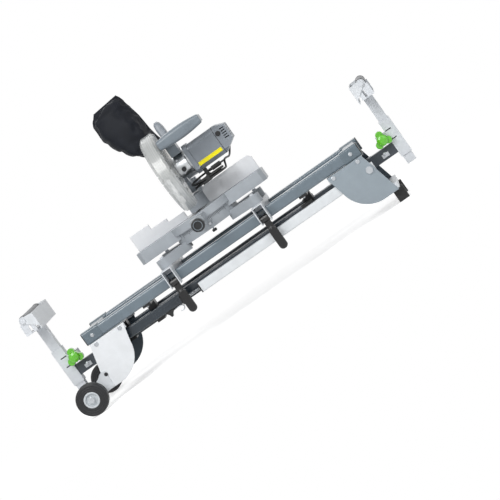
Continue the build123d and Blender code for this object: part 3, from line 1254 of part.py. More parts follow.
def gearbox():
    """A cast case round the gear pair, with a neck that carries the lower guard."""
    x0 = SAW_X + GEARBOX_START
    x1 = SAW_X + GEARBOX_END
    wall = GEARBOX_WALL
    big = GEARBOX_MOTOR_RADIUS
    small = GEARBOX_BLADE_RADIUS
    case = rod_x(BLADE_Y, BLADE_Z, small, x0, x1)
    case += rod_x(MOTOR_Y, BLADE_Z, big, x0 + GEARBOX_STEP, MOTOR_X0)
    case += box(x0, x1, BLADE_Y, MOTOR_Y, BLADE_Z - small, BLADE_Z + small)
    case += rod_x(BLADE_Y, BLADE_Z, NECK_RADIUS, SAW_X + UPPER_GUARD_HALF - UPPER_GUARD_WALL, x0)
    lid = x1 - wall
    cavity = rod_x(BLADE_Y, BLADE_Z, GEAR_RADIUS + GEAR_SIDE_ROOM, x0 + wall, lid)
    cavity += rod_x(MOTOR_Y, BLADE_Z, PINION_RADIUS + PINION_SIDE_ROOM, x0 + wall + GEARBOX_STEP, lid)
    case -= cavity
    case -= rod_x(BLADE_Y, BLADE_Z, ARBOR_RADIUS + RUN_FIT, SAW_X, x0 + wall + 1)
    case -= rod_x(MOTOR_Y, BLADE_Z, ARMATURE_SHAFT + RUN_FIT, lid - 1, MOTOR_X0 + 1)
    pocket_y = BLADE_Y - small
    return case - rod_y((x0 + x1) / 2, BLADE_Z - 12, LOCK_RADIUS - 3 + RUN_FIT, pocket_y - 1, pocket_y + LOCK_STEM)


def motor_bar(half, x0, x1):
    """A square bar along X round the motor's axis, with its four edges cut off."""
    flat = half - MOTOR_CHAMFER
    ring = [
        (-flat, -half), (flat, -half), (half, -flat), (half, flat),
        (flat, half), (-flat, half), (-half, flat), (-half, -flat),
    ]
    return sheet_yz([(MOTOR_Y + y, BLADE_Z + z) for y, z in ring], x0, x1)


def motor_housing():
    """The boxy motor case with its flange on the gearbox and a sunk panel in front."""
    x0 = MOTOR_X0
    flange_end = x0 + MOTOR_FLANGE_LENGTH
    case = motor_bar(MOTOR_HALF, x0, MOTOR_END) + motor_bar(MOTOR_FLANGE_HALF, x0, flange_end)
    face = MOTOR_Y - MOTOR_HALF
    flat = MOTOR_HALF - MOTOR_CHAMFER
    case -= box(flange_end, MOTOR_END - MOTOR_PANEL_EDGE, face - 1, face + MOTOR_PANEL_DEPTH,
                BLADE_Z - flat + MOTOR_LABEL_BAND, BLADE_Z + flat - MOTOR_PANEL_EDGE)
    bore = MOTOR_HALF - MOTOR_PANEL_DEPTH - MOTOR_WALL
    case -= rod_x(MOTOR_Y, BLADE_Z, bore, x0 + MOTOR_WALL, MOTOR_END + 1)
    return case - rod_x(MOTOR_Y, BLADE_Z, ARMATURE_SHAFT + RUN_FIT, x0 - 1, x0 + MOTOR_WALL + 1)


def cap_outline(x0, inset):
    """The end cap from the front: drawn in a little at the top and far at the bottom."""
    top = BLADE_Z + MOTOR_HALF - inset
    bottom = BLADE_Z - MOTOR_HALF + inset
    end = MOTOR_CAP_END - inset
    return [
        (x0, bottom),
        (end, bottom + CAP_BOTTOM_RISE),
        (end, top - CAP_TOP_DROP),
        (end - CAP_TOP_RUN, top),
        (x0, top),
    ]


def motor_end_cap():
    """The vented end cap, with the cord's strain relief at its back."""
    x0 = MOTOR_END
    x1 = MOTOR_CAP_END
    front = MOTOR_Y - MOTOR_HALF
    rear = MOTOR_Y + MOTOR_HALF
    cap = motor_bar(MOTOR_HALF, x0, x1) & sheet_xz(cap_outline(x0, 0), front - 1, rear + 1)
    inner = motor_bar(MOTOR_HALF - MOTOR_WALL, x0 - 1, x1 - MOTOR_WALL)
    cap -= inner & sheet_xz(cap_outline(x0 - 1, MOTOR_WALL), front - 1, rear + 1)
    seat_x = x1 - MOTOR_WALL
    seat_radius = ARMATURE_SHAFT + MOTOR_BEARING_WALL
    cap += rod_x(MOTOR_Y, BLADE_Z, seat_radius, seat_x - MOTOR_BEARING_LENGTH, seat_x + 1)
    cap -= rod_x(MOTOR_Y, BLADE_Z, ARMATURE_SHAFT + RUN_FIT, x0, x1 - MOTOR_WALL)
    half = VENT_SLOT_WIDTH / 2
    for row in range(VENT_ROWS):
        z = BLADE_Z + VENT_TOP - VENT_PITCH * row
        slot_end = x1 - VENT_INSET
        cap -= box(slot_end - VENT_SLOT_LENGTH, slot_end, front - 1, front + MOTOR_WALL + 1, z - half, z + half)
        for side in (-1, 1):
            y = MOTOR_Y + side * VENT_END_OFFSET
            cap -= box(x1 - MOTOR_WALL - 1, x1 + 1, y - VENT_END_LENGTH / 2, y + VENT_END_LENGTH / 2,
                       z - half, z + half)
    plane = Plane(origin=(RELIEF_X, rear - MOTOR_WALL, RELIEF_Z), x_dir=(1, 0, 0), z_dir=(0, 1, 0))
    relief = extrude(plane * Circle(RELIEF_RADIUS), RELIEF_LENGTH + MOTOR_WALL, taper=5)
    return cap + relief


def armature():
    """The motor's rotor: shaft, pinion, cooling fan, laminated core and commutator."""
    pinion_x = SAW_X + GEARBOX_START + GEARBOX_WALL + PINION_STANDOFF
    end = MOTOR_CAP_END - MOTOR_WALL - ARMATURE_END_GAP
    inside = MOTOR_X0 + MOTOR_WALL
    fan_x = inside + FAN_STANDOFF
    rotor = rod_x(MOTOR_Y, BLADE_Z, ARMATURE_SHAFT, pinion_x, end)
    rotor += rod_x(MOTOR_Y, BLADE_Z, PINION_RADIUS, pinion_x, pinion_x + GEAR_FACE)
    rotor += rod_x(MOTOR_Y, BLADE_Z, FAN_RADIUS, fan_x, fan_x + FAN_THICKNESS)
    rotor += rod_x(MOTOR_Y, BLADE_Z, ARMATURE_RADIUS, inside + CORE_START, MOTOR_END - CORE_END_GAP)
    return rotor + rod_x(MOTOR_Y, BLADE_Z, COMMUTATOR_RADIUS, MOTOR_END - COMMUTATOR_START_GAP,
                         MOTOR_END - COMMUTATOR_END_GAP)


def grip_section(x, share):
    """The grip's rounded section at one place along X, at a share of its full size."""
    plane = Plane(origin=(x, GRIP_Y, GRIP_Z), x_dir=(0, 1, 0), z_dir=(1, 0, 0))
    return plane * RectangleRounded(GRIP_DEPTH * share, GRIP_HEIGHT * share, GRIP_CORNER * share)


def handle():
    """A D-shaped loop handle: a fat grip across the front, two arms, a rear bar and a neck."""
    x0 = SAW_X + GRIP_LEFT
    x1 = SAW_X + GRIP_RIGHT
    middle = (x0 + x1) / 2
    grip = loft([grip_section(x0, GRIP_TAPER), grip_section(middle, 1.0), grip_section(x1, GRIP_TAPER)])
    ends = [grip.faces().sort_by(Axis.X)[index] for index in (0, -1)]
    grip = fillet([edge for end in ends for edge in end.edges()], GRIP_END_ROUND)
    arm_half = HANDLE_ARM_HALF
    rear = HANDLE_REAR_Y + HANDLE_REAR_DEPTH
    for x in (x0 + 2, x1 - 2 - HANDLE_ARM):
        grip += box(x, x + HANDLE_ARM, GRIP_Y, rear, GRIP_Z - arm_half, GRIP_Z + arm_half)
    grip += box(x0 + 2, x1 - 2, HANDLE_REAR_Y, rear, GRIP_Z - arm_half, GRIP_Z + arm_half)
    neck_x0 = SAW_X + GEARBOX_START + GEARBOX_STEP
    neck_x1 = SAW_X + GEARBOX_END
    foot_z = BLADE_Z + math.sqrt(GEARBOX_MOTOR_RADIUS ** 2 - (MOTOR_Y - HANDLE_NECK_REAR_Y) ** 2)
    neck = [
        (rear - 2, GRIP_Z - arm_half),
        (rear - 2, GRIP_Z + arm_half),
        (HANDLE_NECK_REAR_Y, foot_z + HANDLE_NECK_RISE),
        (HANDLE_NECK_REAR_Y, BLADE_Z),
        (rear, BLADE_Z),
    ]
    post_piece = sheet_yz(neck, neck_x0, neck_x1)
    post_piece -= rod_x(BLADE_Y, BLADE_Z, GEARBOX_BLADE_RADIUS, neck_x0 - 1, neck_x1 + 1)
    post_piece -= rod_x(MOTOR_Y, BLADE_Z, GEARBOX_MOTOR_RADIUS, neck_x0 - 1, neck_x1 + 1)
    post_piece -= box(neck_x0 - 1, neck_x1 + 1, HANDLE_REAR_Y - 40, MOTOR_Y, BLADE_Z - 60,
                      BLADE_Z + GEARBOX_BLADE_RADIUS)
    grip += post_piece
    pocket = TRIGGER_LENGTH / 2 + MOVE_GAP
    face = GRIP_Y + GRIP_DEPTH / 2
    tall = TRIGGER_HEIGHT / 2 + MOVE_GAP
    depth = TRIGGER_STEM + TRIGGER_TRAVEL - TRIGGER_PROUD + MOVE_GAP
    return grip - box(middle - pocket, middle + pocket, face - depth, face + 1, GRIP_Z - tall, GRIP_Z + tall)


def trigger():
    """The switch paddle at the back of the grip."""
    centre = SAW_X + (GRIP_LEFT + GRIP_RIGHT) / 2
    face = GRIP_Y + GRIP_DEPTH / 2 + TRIGGER_PROUD
    half = TRIGGER_LENGTH / 2
    tall = TRIGGER_HEIGHT / 2
    return box(centre - half, centre + half, face - TRIGGER_STEM, face, GRIP_Z - tall, GRIP_Z + tall)


def lock_button():
    """The spindle lock button in front of the gearbox."""
    x = SAW_X + (GEARBOX_START + GEARBOX_END) / 2
    z = BLADE_Z - 12
    face = BLADE_Y - GEARBOX_BLADE_RADIUS
    stem_end = face + LOCK_STEM - LOCK_TRAVEL - MOVE_GAP
    button = rod_y(x, z, LOCK_RADIUS - 3, face - LOCK_PROUD, stem_end)
    cap_back = face - LOCK_TRAVEL - MOVE_GAP
    return button + rod_y(x, z, LOCK_RADIUS, face - LOCK_PROUD - 2, cap_back)


def dust_bag():
    """The filled bag as one closed solid, leaning left behind the guard."""
    low = DUST_PORT_Z - BAG_NECK_DROP
    outline = [
        (SAW_X - BAG_NECK_HALF, low),
        (SAW_X + BAG_NECK_HALF, low),
        (BAG_WAIST_RIGHT, BAG_WAIST_Z),
        (BAG_LEAN_RIGHT, BAG_TOP_Z),
        (BAG_LEAN_LEFT + BAG_TOP_INSET, BAG_TOP_Z - BAG_TOP_DIP),
        (BAG_LEAN_LEFT, BAG_SHOULDER_Z),
        (BAG_WAIST_LEFT, BAG_WAIST_Z),
    ]
    bag = sheet_xz(outline, DUST_PORT_END_Y, BAG_REAR_Y)
    bag = fillet(bag.edges().filter_by(Axis.Y), BAG_FILLET)
    plane = Plane(origin=(0, BAG_REAR_Y - BAG_WALL, 0), x_dir=(1, 0, 0), z_dir=(0, -1, 0))
    inside = plane * offset(Polygon(*outline, align=None), amount=-BAG_WALL - BAG_FILLET * 0.4)
    depth = BAG_REAR_Y - DUST_PORT_END_Y - 2 * BAG_WALL
    return bag - extrude(inside, depth, dir=(0, -1, 0))


# Mains cord

def biarc(p, t, q, u):
    """Two tangent arcs from p along t to q along u."""
    chord = q - p
    total = t + u
    flat = 2 * (1 - t.dot(u))
    along = chord.dot(total)
    if flat < 1e-9:
        reach = chord.dot(chord) / (4 * chord.dot(u))
    else:
        reach = (-along + math.sqrt(along ** 2 + flat * chord.dot(chord))) / flat
    middle = (p + t * reach + q - u * reach) * 0.5
    return [tangent_arc(p, t, middle), tangent_arc(q, u * -1, middle, True)]


def tangent_arc(start, tangent, end, backwards=False):
    """An arc that leaves start along tangent and reaches end, or the same arc the other way."""
    chord = end - start
    along = chord.normalized()
    side = tangent - along * tangent.dot(along)
    if side.length < 1e-6:
        return Line(end, start) if backwards else Line(start, end)
    half_angle = math.atan2(side.length, tangent.dot(along))
    sag = chord.length / 2 * math.tan(half_angle / 2)
    middle = start + chord * 0.5 + side.normalized() * sag
    return ThreePointArc(end, middle, start) if backwards else ThreePointArc(start, middle, end)


def hank_point(turn):
    """A point of the hank's centre line, counted in turns from its free end."""
    layer = HANK_TURNS_PER_LAYER
    climb_end = layer + 0.5
    if turn <= layer:
        inset = HANK_PITCH * turn
        level = 0.0
    elif turn <= climb_end:
        inset = HANK_PITCH * layer
        share = (turn - layer) / 0.5
        level = HANK_LAYER * share * share * (3 - 2 * share)
    else:
        inset = HANK_PITCH * max(2 * layer + 0.5 - turn, 0.0)
        level = HANK_LAYER
    last = 2 * layer + 0.5
    if turn > last - 0.25:
        share = min((turn - last + 0.25) / 0.5, 1.0)
        level += HANK_PLUG_RISE * share * share * (3 - 2 * share)
    phase = 2 * math.pi * turn
    across = math.sin(phase)
    x = HANK_X + (HANK_HALF_LENGTH - inset) * math.cos(phase)
    y = HANK_Y - (HANK_HALF_WIDTH - inset) * across + HANK_WAIST * across ** 3
    return Vector(x, y, HANK_Z + level)


HANK_END_TURN = 2 * HANK_TURNS_PER_LAYER + 0.5 + 0.25


def hank_tangent(turn):
    step = 1e-4
    return (hank_point(turn + step) - hank_point(turn - step)).normalized()


def hank_start():
    """The hank's inner end, one tube diameter of straight before the first turn."""
    return hank_point(0) - hank_tangent(0) * (2 * CORD_RADIUS)


def hank_finish():
    """The hank's outer end, one tube diameter of straight after the last turn."""
    return hank_point(HANK_END_TURN) + hank_tangent(HANK_END_TURN) * (2 * CORD_RADIUS)


def tube_along(edges, radius):
    """A round tube swept along joined edges."""
    path = Wire(edges)
    start = path.position_at(0)
    section = Plane(origin=start, z_dir=path.tangent_at(0)) * Circle(radius)
    return sweep(section, path=path)


def cord_hank():
    count = round(HANK_END_TURN * HANK_STEPS)
    turns = [HANK_END_TURN * index / count for index in range(count + 1)]
    edges = [Line(hank_start(), hank_point(0))]
    for a, b in zip(turns, turns[1:]):
        edges += biarc(hank_point(a), hank_tangent(a), hank_point(b), hank_tangent(b))
    edges.append(Line(hank_point(HANK_END_TURN), hank_finish()))
    tube = tube_along(edges, CORD_RADIUS)
    length = sum(edge.length for edge in edges)
    print("hank length", round(length, 1), "volume ratio",
          round(tube.volume / (math.pi * CORD_RADIUS ** 2 * length), 4))
    fine = [hank_point(HANK_END_TURN * index / 900) for index in range(901)]
    step = length / 900
    skip = int(6 * CORD_RADIUS / step)
    least = min(
        (fine[i] - fine[j]).length
        for i in range(0, 901, 2)
        for j in range(i + skip, 901, 2)
    )
    print("hank least gap to itself", round(least - 2 * CORD_RADIUS, 2))
    return tube


def lead_points():
    """The free lead from the strain relief, behind the motor and down to the hank."""
    exit_y = MOTOR_Y + MOTOR_HALF + RELIEF_LENGTH
    out = Vector(0, 1, 0)
    down = Vector(-LEAD_SLANT, 0, -math.sqrt(1 - LEAD_SLANT ** 2))
    slope = math.sqrt(0.5) * LEAD_SIDE
    points = [Vector(RELIEF_X, exit_y, RELIEF_Z)]
    points.append(points[-1] + out * LEAD_SIDE)
    points.append(points[-1] + (out + down) * slope)
    points.append(points[-1] + down * LEAD_SIDE)
    points.append(points[-1] + (down - out) * slope)
    start = hank_start()
    run_in = start - hank_tangent(0) * LEAD_RUN_IN
    high = Vector(run_in.X + 4, run_in.Y + LEAD_DIP_LENGTH, run_in.Z + LEAD_DIP)
    half_way = (points[-1] + high) * 0.5 + Vector(0, 0, LEAD_ARCH)
    return points + [half_way, high, run_in, start]


def cord_lead():
    points = lead_points()
    radii = []
    for before, here, after in zip(points, points[1:], points[2:]):
        turn = (here - before).get_angle(after - here)
        run = min((here - before).length, (after - here).length)
        radii.append(0.45 * run / math.tan(math.radians(turn) / 2))
    print("lead radii", [round(radius, 1) for radius in radii])
    path = FilletPolyline(*points, radius=radii)
    tube = tube_along(path.edges(), CORD_RADIUS)
    print("lead length", round(path.length, 1), "volume ratio",
          round(tube.volume / (math.pi * CORD_RADIUS ** 2 * path.length), 4))
    return tube


def cord_tie():
    """A rubber strap round the hank's waist with a tab up to the motor."""
    half_x = TIE_WIDTH / 2
    reach = HANK_HALF_WIDTH - HANK_WAIST + CORD_RADIUS + SEAT_GAP
    low = HANK_Z - CORD_RADIUS - SEAT_GAP
    inner = (HANK_Y - reach, HANK_Y + reach, low, HANK_Z + HANK_LAYER + CORD_RADIUS + SEAT_GAP)
    t = TIE_THICKNESS
    x0, x1 = HANK_X - half_x, HANK_X + half_x
    ring = box(x0, x1, inner[0] - t, inner[1] + t, inner[2] - t, inner[3] + t)
    ring -= box(x0 - 1, x1 + 1, *inner)
    tab_y = HANK_Y + TIE_TAB_OFFSET
    return ring + box(x0, x1, tab_y - t, tab_y, inner[3], BLADE_Z - MOTOR_HALF)


def plug():
    """A two-pin plug lying on the hank."""
    end = hank_finish()
    along = hank_tangent(HANK_END_TURN)
    flat = Vector(along.X, along.Y, 0).normalized()
    place = Plane(origin=end, x_dir=(0, 0, 1), z_dir=flat)
    neck = extrude(place * Circle(CORD_RADIUS + PLUG_NECK_WALL), PLUG_NECK)
    body_plane = place.offset(PLUG_NECK)
    body = extrude(body_plane * RectangleRounded(PLUG_HEIGHT, PLUG_WIDTH, PLUG_CORNER), PLUG_LENGTH)
    face = place.offset(PLUG_NECK + PLUG_LENGTH)
    prongs = [
        extrude(face * Pos(0, side * PRONG_PITCH / 2) * Rectangle(PRONG_WIDTH, PRONG_THICKNESS), PRONG_LENGTH)
        for side in (-1, 1)
    ]
    return neck + body + prongs[0] + prongs[1]


def nodes():
    """Every node's name with its solids."""
    pieces = {
        "rails": rails(),
        "end_frames": end_frames(),
        "end_plates": end_plates(),
        "end_brackets": end_brackets(),
        "frame_fasteners": frame_fasteners(),
        "plastic_guides": plastic_guides(),
        "rest_feet": rest_feet(),
        "tyre_front": [tyre(-WHEEL_Y)],
        "hub_front": [hub(-WHEEL_Y)],
        "tyre_rear": [tyre(WHEEL_Y)],
        "hub_rear": [hub(WHEEL_Y)],
        "mount_beams": mount_beams(),
        "lever_left": [clamp_lever(SAW_X - BEAM_X)],
        "lever_right": [clamp_lever(SAW_X + BEAM_X)],
        "saw_base": [saw_base()],
        "fences": fences(),
        "turntable": [turntable()],
        "kerf_plate": [kerf_plate()],
        "mitre_knob": [mitre_knob()],
        "bevel_arm": [bevel_arm()],
        "bevel_lever": [bevel_lever()],
        "head_arm": [head_arm()],
        "upper_guard": [upper_guard()],
        "lower_guard": [lower_guard()],
        "blade": [blade()],
        "spindle": [spindle()],
        "gearbox": [gearbox()],
        "motor_housing": [motor_housing()],
        "motor_end_cap": [motor_end_cap()],
        "armature": [armature()],
        "handle": [handle()],
        "trigger": [trigger()],
        "lock_button": [lock_button()],
        "dust_bag": [dust_bag()],
        "cord_lead": [cord_lead()],
        "cord_hank": [cord_hank()],
        "cord_tie": [cord_tie()],
        "plug": [plug()],
    }
    for name, leg, foot in (("left", leg_left(), foot_left()), ("right", leg_right(), foot_right())):
        for place, across in (("front", False), ("rear", True)):
            pieces[f"leg_{name}_{place}"] = [mirror(leg, about=Plane.XZ) if across else leg]
            pieces[f"foot_{name}_{place}"] = [mirror(foot, about=Plane.XZ) if across else foot]
    support = {
        "ext_bar": ext_bar(),
        "post_sleeve": post_sleeve(),
        "knob": pinch_knob(),
        "post": post(),
        "roller_head": roller_head(),
        "roller": roller(),
        "flip_stop": flip_stop(),
    }
    for name, piece in support.items():
        pieces[f"{name}_left"] = [piece]
        pieces[f"{name}_right"] = [knob_at_right(piece) if name == "knob" else at_right(piece)]
    return pieces


def main():
    os.makedirs("parts", exist_ok=True)
    for name, solids in nodes().items():
        flat = [solid for piece in solids for solid in piece.solids()]
        export_step(Compound(children=flat, label=name), f"parts/{name}.step")


main()
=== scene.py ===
"""Looks of a compound mitre saw on its folded, wheeled stand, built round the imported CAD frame."""

import json
import logging
import math
from dataclasses import dataclass, field
from enum import Enum
from functools import partial
from typing import Callable, Optional, Sequence, Union

import bmesh
import bpy
from mathutils import Matrix, Vector


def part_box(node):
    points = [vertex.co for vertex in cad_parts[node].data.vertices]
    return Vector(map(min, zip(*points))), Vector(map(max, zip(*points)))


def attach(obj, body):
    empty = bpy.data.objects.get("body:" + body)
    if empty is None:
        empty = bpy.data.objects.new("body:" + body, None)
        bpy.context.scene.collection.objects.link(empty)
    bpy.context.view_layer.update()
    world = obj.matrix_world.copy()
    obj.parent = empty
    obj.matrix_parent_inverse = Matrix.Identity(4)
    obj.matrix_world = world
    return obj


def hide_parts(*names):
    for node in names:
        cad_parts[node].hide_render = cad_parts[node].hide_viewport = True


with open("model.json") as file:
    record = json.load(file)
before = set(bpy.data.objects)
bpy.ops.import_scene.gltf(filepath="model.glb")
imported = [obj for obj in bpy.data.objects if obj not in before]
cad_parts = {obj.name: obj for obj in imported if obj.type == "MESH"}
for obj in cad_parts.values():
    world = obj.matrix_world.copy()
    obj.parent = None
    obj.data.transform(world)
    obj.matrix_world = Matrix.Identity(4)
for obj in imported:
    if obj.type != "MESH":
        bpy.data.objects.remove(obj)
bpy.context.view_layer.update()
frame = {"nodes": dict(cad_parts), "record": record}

logging.basicConfig(level=logging.INFO, format="%(message)s")
LOG = logging.getLogger("mitre_saw")

MM = 0.001
# Where most of a Noise texture's values lie.
NOISE_SPAN = {"From Min": 0.3, "From Max": 0.7}
Point = tuple[float, float, float]
Filler = Callable[[bmesh.types.BMesh], None]


class Side(Enum):
    """The two ends of the stand, with the sign of their X."""

    LEFT = -1
    RIGHT = 1


class Row(Enum):
    """The operator's row of wheels and legs, and the row behind it."""

    FRONT = "front"
    REAR = "rear"


class Grain(Enum):
    """How a surface's fine relief was made."""

    ORANGE_PEEL = "powder coat that flowed in the oven"
    SPARK = "spark-eroded mould texture"
    SAND = "sand or shot-blast pits"
    SKIN = "smooth moulded skin"


def srgb(code: str) -> tuple[float, float, float, float]:
    """Turns an sRGB hex colour to linear RGBA.

    Args:
        code: six hex digits, with or without a leading hash.

    Returns:
        The linear colour with alpha 1.
    """
    digits = code.lstrip("#")
    parts = [int(digits[i:i + 2], 16) / 255 for i in (0, 2, 4)]
    linear = [c / 12.92 if c <= 0.04045 else ((c + 0.055) / 1.055) ** 2.4 for c in parts]
    return (linear[0], linear[1], linear[2], 1.0)


def node(tree: bpy.types.NodeTree, kind: str, settings: Optional[dict] = None,
         links: Optional[dict] = None) -> bpy.types.Node:
    """Adds one shader node.

    Args:
        tree: the material's node tree.
        kind: the node's type name.
        settings: attributes, or input sockets by name, with their values.
        links: input sockets by name, with the output socket each takes.

    Returns:
        The new node.
    """
    made = tree.nodes.new(kind)
    for key, value in (settings or {}).items():
        if isinstance(key, str) and key not in made.inputs:
            setattr(made, key, value)
        else:
            made.inputs[key].default_value = value
    for key, source in (links or {}).items():
        tree.links.new(source, made.inputs[key])
    return made


def new_material(name: str) -> tuple[bpy.types.Material, bpy.types.NodeTree, bpy.types.Node]:
    """Makes an empty material with a Principled shader on its output.

    Args:
        name: the material's name.

    Returns:
        The material, its tree and its Principled node.
    """
    material = bpy.data.materials.new(name)
    material.use_nodes = True
    tree = material.node_tree
    tree.nodes.clear()
    shader = node(tree, "ShaderNodeBsdfPrincipled")
    node(tree, "ShaderNodeOutputMaterial", links={"Surface": shader.outputs["BSDF"]})
    return material, tree, shader


@dataclass(frozen=True)
class Finish:
    """A surface that is one material all over, with fine relief, mottling and rubbed edges.

    Sizes are in millimetres. The grain of a real surface is often finer than a pixel, so
    grain_mm is drawn as coarse as it needs to be seen. A face is inside the stand where its
    place along Y times its normal's Y, in metres, is below the inner limit; such faces can take
    a dark colour as painted shade, and the right end of the stand a darker colour as painted shade.
    """

    name: str
    colour: str
    rubbed: str
    roughness: float
    grain: Grain = Grain.SKIN
    grain_mm: float = 1.5
    relief_mm: float = 0.05
    mottle: float = 0.06
    wear: float = 0.5
    metallic: float = 0.0
    ior: float = 1.5
    coat: float = 0.0
    edge_mm: float = 1.2
    right_shade_colour: Optional[str] = None
    inner_shade_colour: Optional[str] = None
    cloud_mm: float = 38.0
    rub_mm: float = 6.0
    roughness_spread: float = 0.07
    inner_shade_limit: float = -0.03

    def make(self) -> bpy.types.Material:
        """Builds the material's nodes.

        Returns:
            The finished material.
        """
        material, tree, shader = new_material(self.name)
        place = node(tree, "ShaderNodeTexCoord").outputs["Object"]
        cloud = node(tree, "ShaderNodeTexNoise",
                     {"Scale": 1 / (self.cloud_mm * MM), "Detail": 5.0, "Roughness": 0.6}, {"Vector": place})
        mottled = node(tree, "ShaderNodeMapRange",
                       {**NOISE_SPAN, "To Min": 1 - self.mottle, "To Max": 1 + self.mottle},
                       {"Value": cloud.outputs["Fac"]})
        tone = node(tree, "ShaderNodeHueSaturation", {"Color": srgb(self.colour)},
                    {"Value": mottled.outputs["Result"]})
        # Painted shade: the right end of the stand can take a darker colour than the left.
        if self.right_shade_colour:
            tree.links.new(self._painted_shade_right_end(tree, place), tone.inputs["Color"])
        # Painted shade: faces that look at the stand's middle can take a dark colour.
        if self.inner_shade_colour:
            self._painted_shade_inside(tree, tone.inputs["Color"])
        rounded = node(tree, "ShaderNodeBevel", {"samples": 4, "Radius": self.edge_mm * MM})
        rub = self._rubbing(tree, place, rounded.outputs["Normal"])
        painted = node(tree, "ShaderNodeMix", {"data_type": "RGBA", 7: srgb(self.rubbed)},
                       {0: rub, 6: tone.outputs["Color"]})
        tree.links.new(painted.outputs[2], shader.inputs["Base Color"])
        spread = node(tree, "ShaderNodeMapRange",
                      {**NOISE_SPAN,
                       "To Min": max(self.roughness - self.roughness_spread, 0.02),
                       "To Max": min(self.roughness + self.roughness_spread, 1.0)},
                      {"Value": cloud.outputs["Fac"]})
        tree.links.new(spread.outputs["Result"], shader.inputs["Roughness"])
        shader.inputs["Metallic"].default_value = self.metallic
        if not self.metallic:
            shader.inputs["IOR"].default_value = self.ior
        shader.inputs["Coat Weight"].default_value = self.coat
        tree.links.new(self._relief(tree, place, rounded.outputs["Normal"]), shader.inputs["Normal"])
        return material

    def _rubbing(self, tree: bpy.types.NodeTree, place: bpy.types.NodeSocket,
                 rounded: bpy.types.NodeSocket) -> bpy.types.NodeSocket:
        """Finds the edges, where the softened normal leaves the flat one, and rubs them in patches.

        Args:
            tree: the material's node tree.
            place: the object coordinates.
            rounded: the normal with softened edges.

        Returns:
            How far the surface is rubbed, from 0 to the finish's wear.
        """
        flat = node(tree, "ShaderNodeNewGeometry")
        turned = node(tree, "ShaderNodeVectorMath", {"operation": "DOT_PRODUCT"},
                      {0: rounded, 1: flat.outputs["Normal"]})
        rub_noise = node(tree, "ShaderNodeTexNoise", {"Scale": 1 / (self.rub_mm * MM), "Detail": 4.0},
                         {"Vector": place})
        patchy = node(tree, "ShaderNodeMapRange", {"From Min": 0.35, "From Max": 0.6, "To Max": self.wear},
                      {"Value": rub_noise.outputs["Fac"]})
        rub = node(tree, "ShaderNodeMapRange", {"From Min": 0.995, "From Max": 0.90},
                   {"Value": turned.outputs["Value"], "To Max": patchy.outputs["Result"]})
        return rub.outputs["Result"]

    def _painted_shade_right_end(self, tree: bpy.types.NodeTree, place: bpy.types.NodeSocket) -> bpy.types.NodeSocket:
        """Picks the colour of the left end, or the darker colour of the right end, which is painted shade.

        Args:
            tree: the material's node tree.
            place: the object coordinates.

        Returns:
            The colour.
        """
        along = node(tree, "ShaderNodeSeparateXYZ", links={"Vector": place})
        right = node(tree, "ShaderNodeMath", {"operation": "GREATER_THAN", 1: 0.0}, {0: along.outputs["X"]})
        pick = node(tree, "ShaderNodeMix",
                    {"data_type": "RGBA", 6: srgb(self.colour), 7: srgb(self.right_shade_colour)},
                    {0: right.outputs["Value"]})
        return pick.outputs[2]

    def _painted_shade_inside(self, tree: bpy.types.NodeTree, colour: bpy.types.NodeSocket) -> None:
        """Paints shade, as a dark colour, on the faces that look at the stand's middle.

        Args:
            tree: the material's node tree.
            colour: the input that takes the colour with its painted shade, linked already or constant.
        """
        spot = node(tree, "ShaderNodeNewGeometry")
        where = node(tree, "ShaderNodeSeparateXYZ", links={"Vector": spot.outputs["Position"]})
        facing = node(tree, "ShaderNodeSeparateXYZ", links={"Vector": spot.outputs["Normal"]})
        way = node(tree, "ShaderNodeMath", {"operation": "MULTIPLY"},
                   {0: where.outputs["Y"], 1: facing.outputs["Y"]})
        inside = node(tree, "ShaderNodeMath", {"operation": "LESS_THAN", 1: self.inner_shade_limit},
                      {0: way.outputs["Value"]})
        pick = node(tree, "ShaderNodeMix",
                    {"data_type": "RGBA", 6: srgb(self.colour), 7: srgb(self.inner_shade_colour)},
                    {0: inside.outputs["Value"]})
        if colour.is_linked:
            tree.links.new(colour.links[0].from_socket, pick.inputs[6])
        tree.links.new(pick.outputs[2], colour)

    def _relief(self, tree: bpy.types.NodeTree, place: bpy.types.NodeSocket,
                rounded: bpy.types.NodeSocket) -> bpy.types.NodeSocket:
        """Adds the fine relief that the grain names.

        Args:
            tree: the material's node tree.
            place: the object coordinates.
            rounded: the normal with softened edges, which carries the relief.

        Returns:
            The bump's normal.
        """
        scale = 1 / (self.grain_mm * MM)
        if self.grain is Grain.SPARK:
            height = node(tree, "ShaderNodeTexVoronoi", {"feature": "SMOOTH_F1", "Scale": scale},
                          {"Vector": place}).outputs["Distance"]
        else:
            detail = {Grain.ORANGE_PEEL: 1.0, Grain.SAND: 6.0, Grain.SKIN: 2.0}[self.grain]
            height = node(tree, "ShaderNodeTexNoise", {"Scale": scale, "Detail": detail},
                          {"Vector": place}).outputs["Fac"]
        bump = node(tree, "ShaderNodeBump", {"Strength": 0.6, "Distance": self.relief_mm * MM},
                    {"Height": height, "Normal": rounded})
        return bump.outputs["Normal"]


def round_axis(tree: bpy.types.NodeTree, centre: Point) -> tuple[bpy.types.NodeSocket, bpy.types.NodeSocket]:
    """Measures a point from an axis along X.

    Args:
        tree: the material's node tree.
        centre: a point of the axis, in metres.

    Returns:
        The distance from the axis and the place along it.
    """
    place = node(tree, "ShaderNodeTexCoord").outputs["Object"]
    moved = node(tree, "ShaderNodeVectorMath", {"operation": "SUBTRACT", 1: centre}, {0: place})
    apart = node(tree, "ShaderNodeSeparateXYZ", links={"Vector": moved.outputs["Vector"]})
    flat = node(tree, "ShaderNodeCombineXYZ", links={"X": apart.outputs["Y"], "Y": apart.outputs["Z"]})
    radius = node(tree, "ShaderNodeVectorMath", {"operation": "LENGTH"}, {0: flat.outputs["Vector"]})
    return radius.outputs["Value"], apart.outputs["X"]


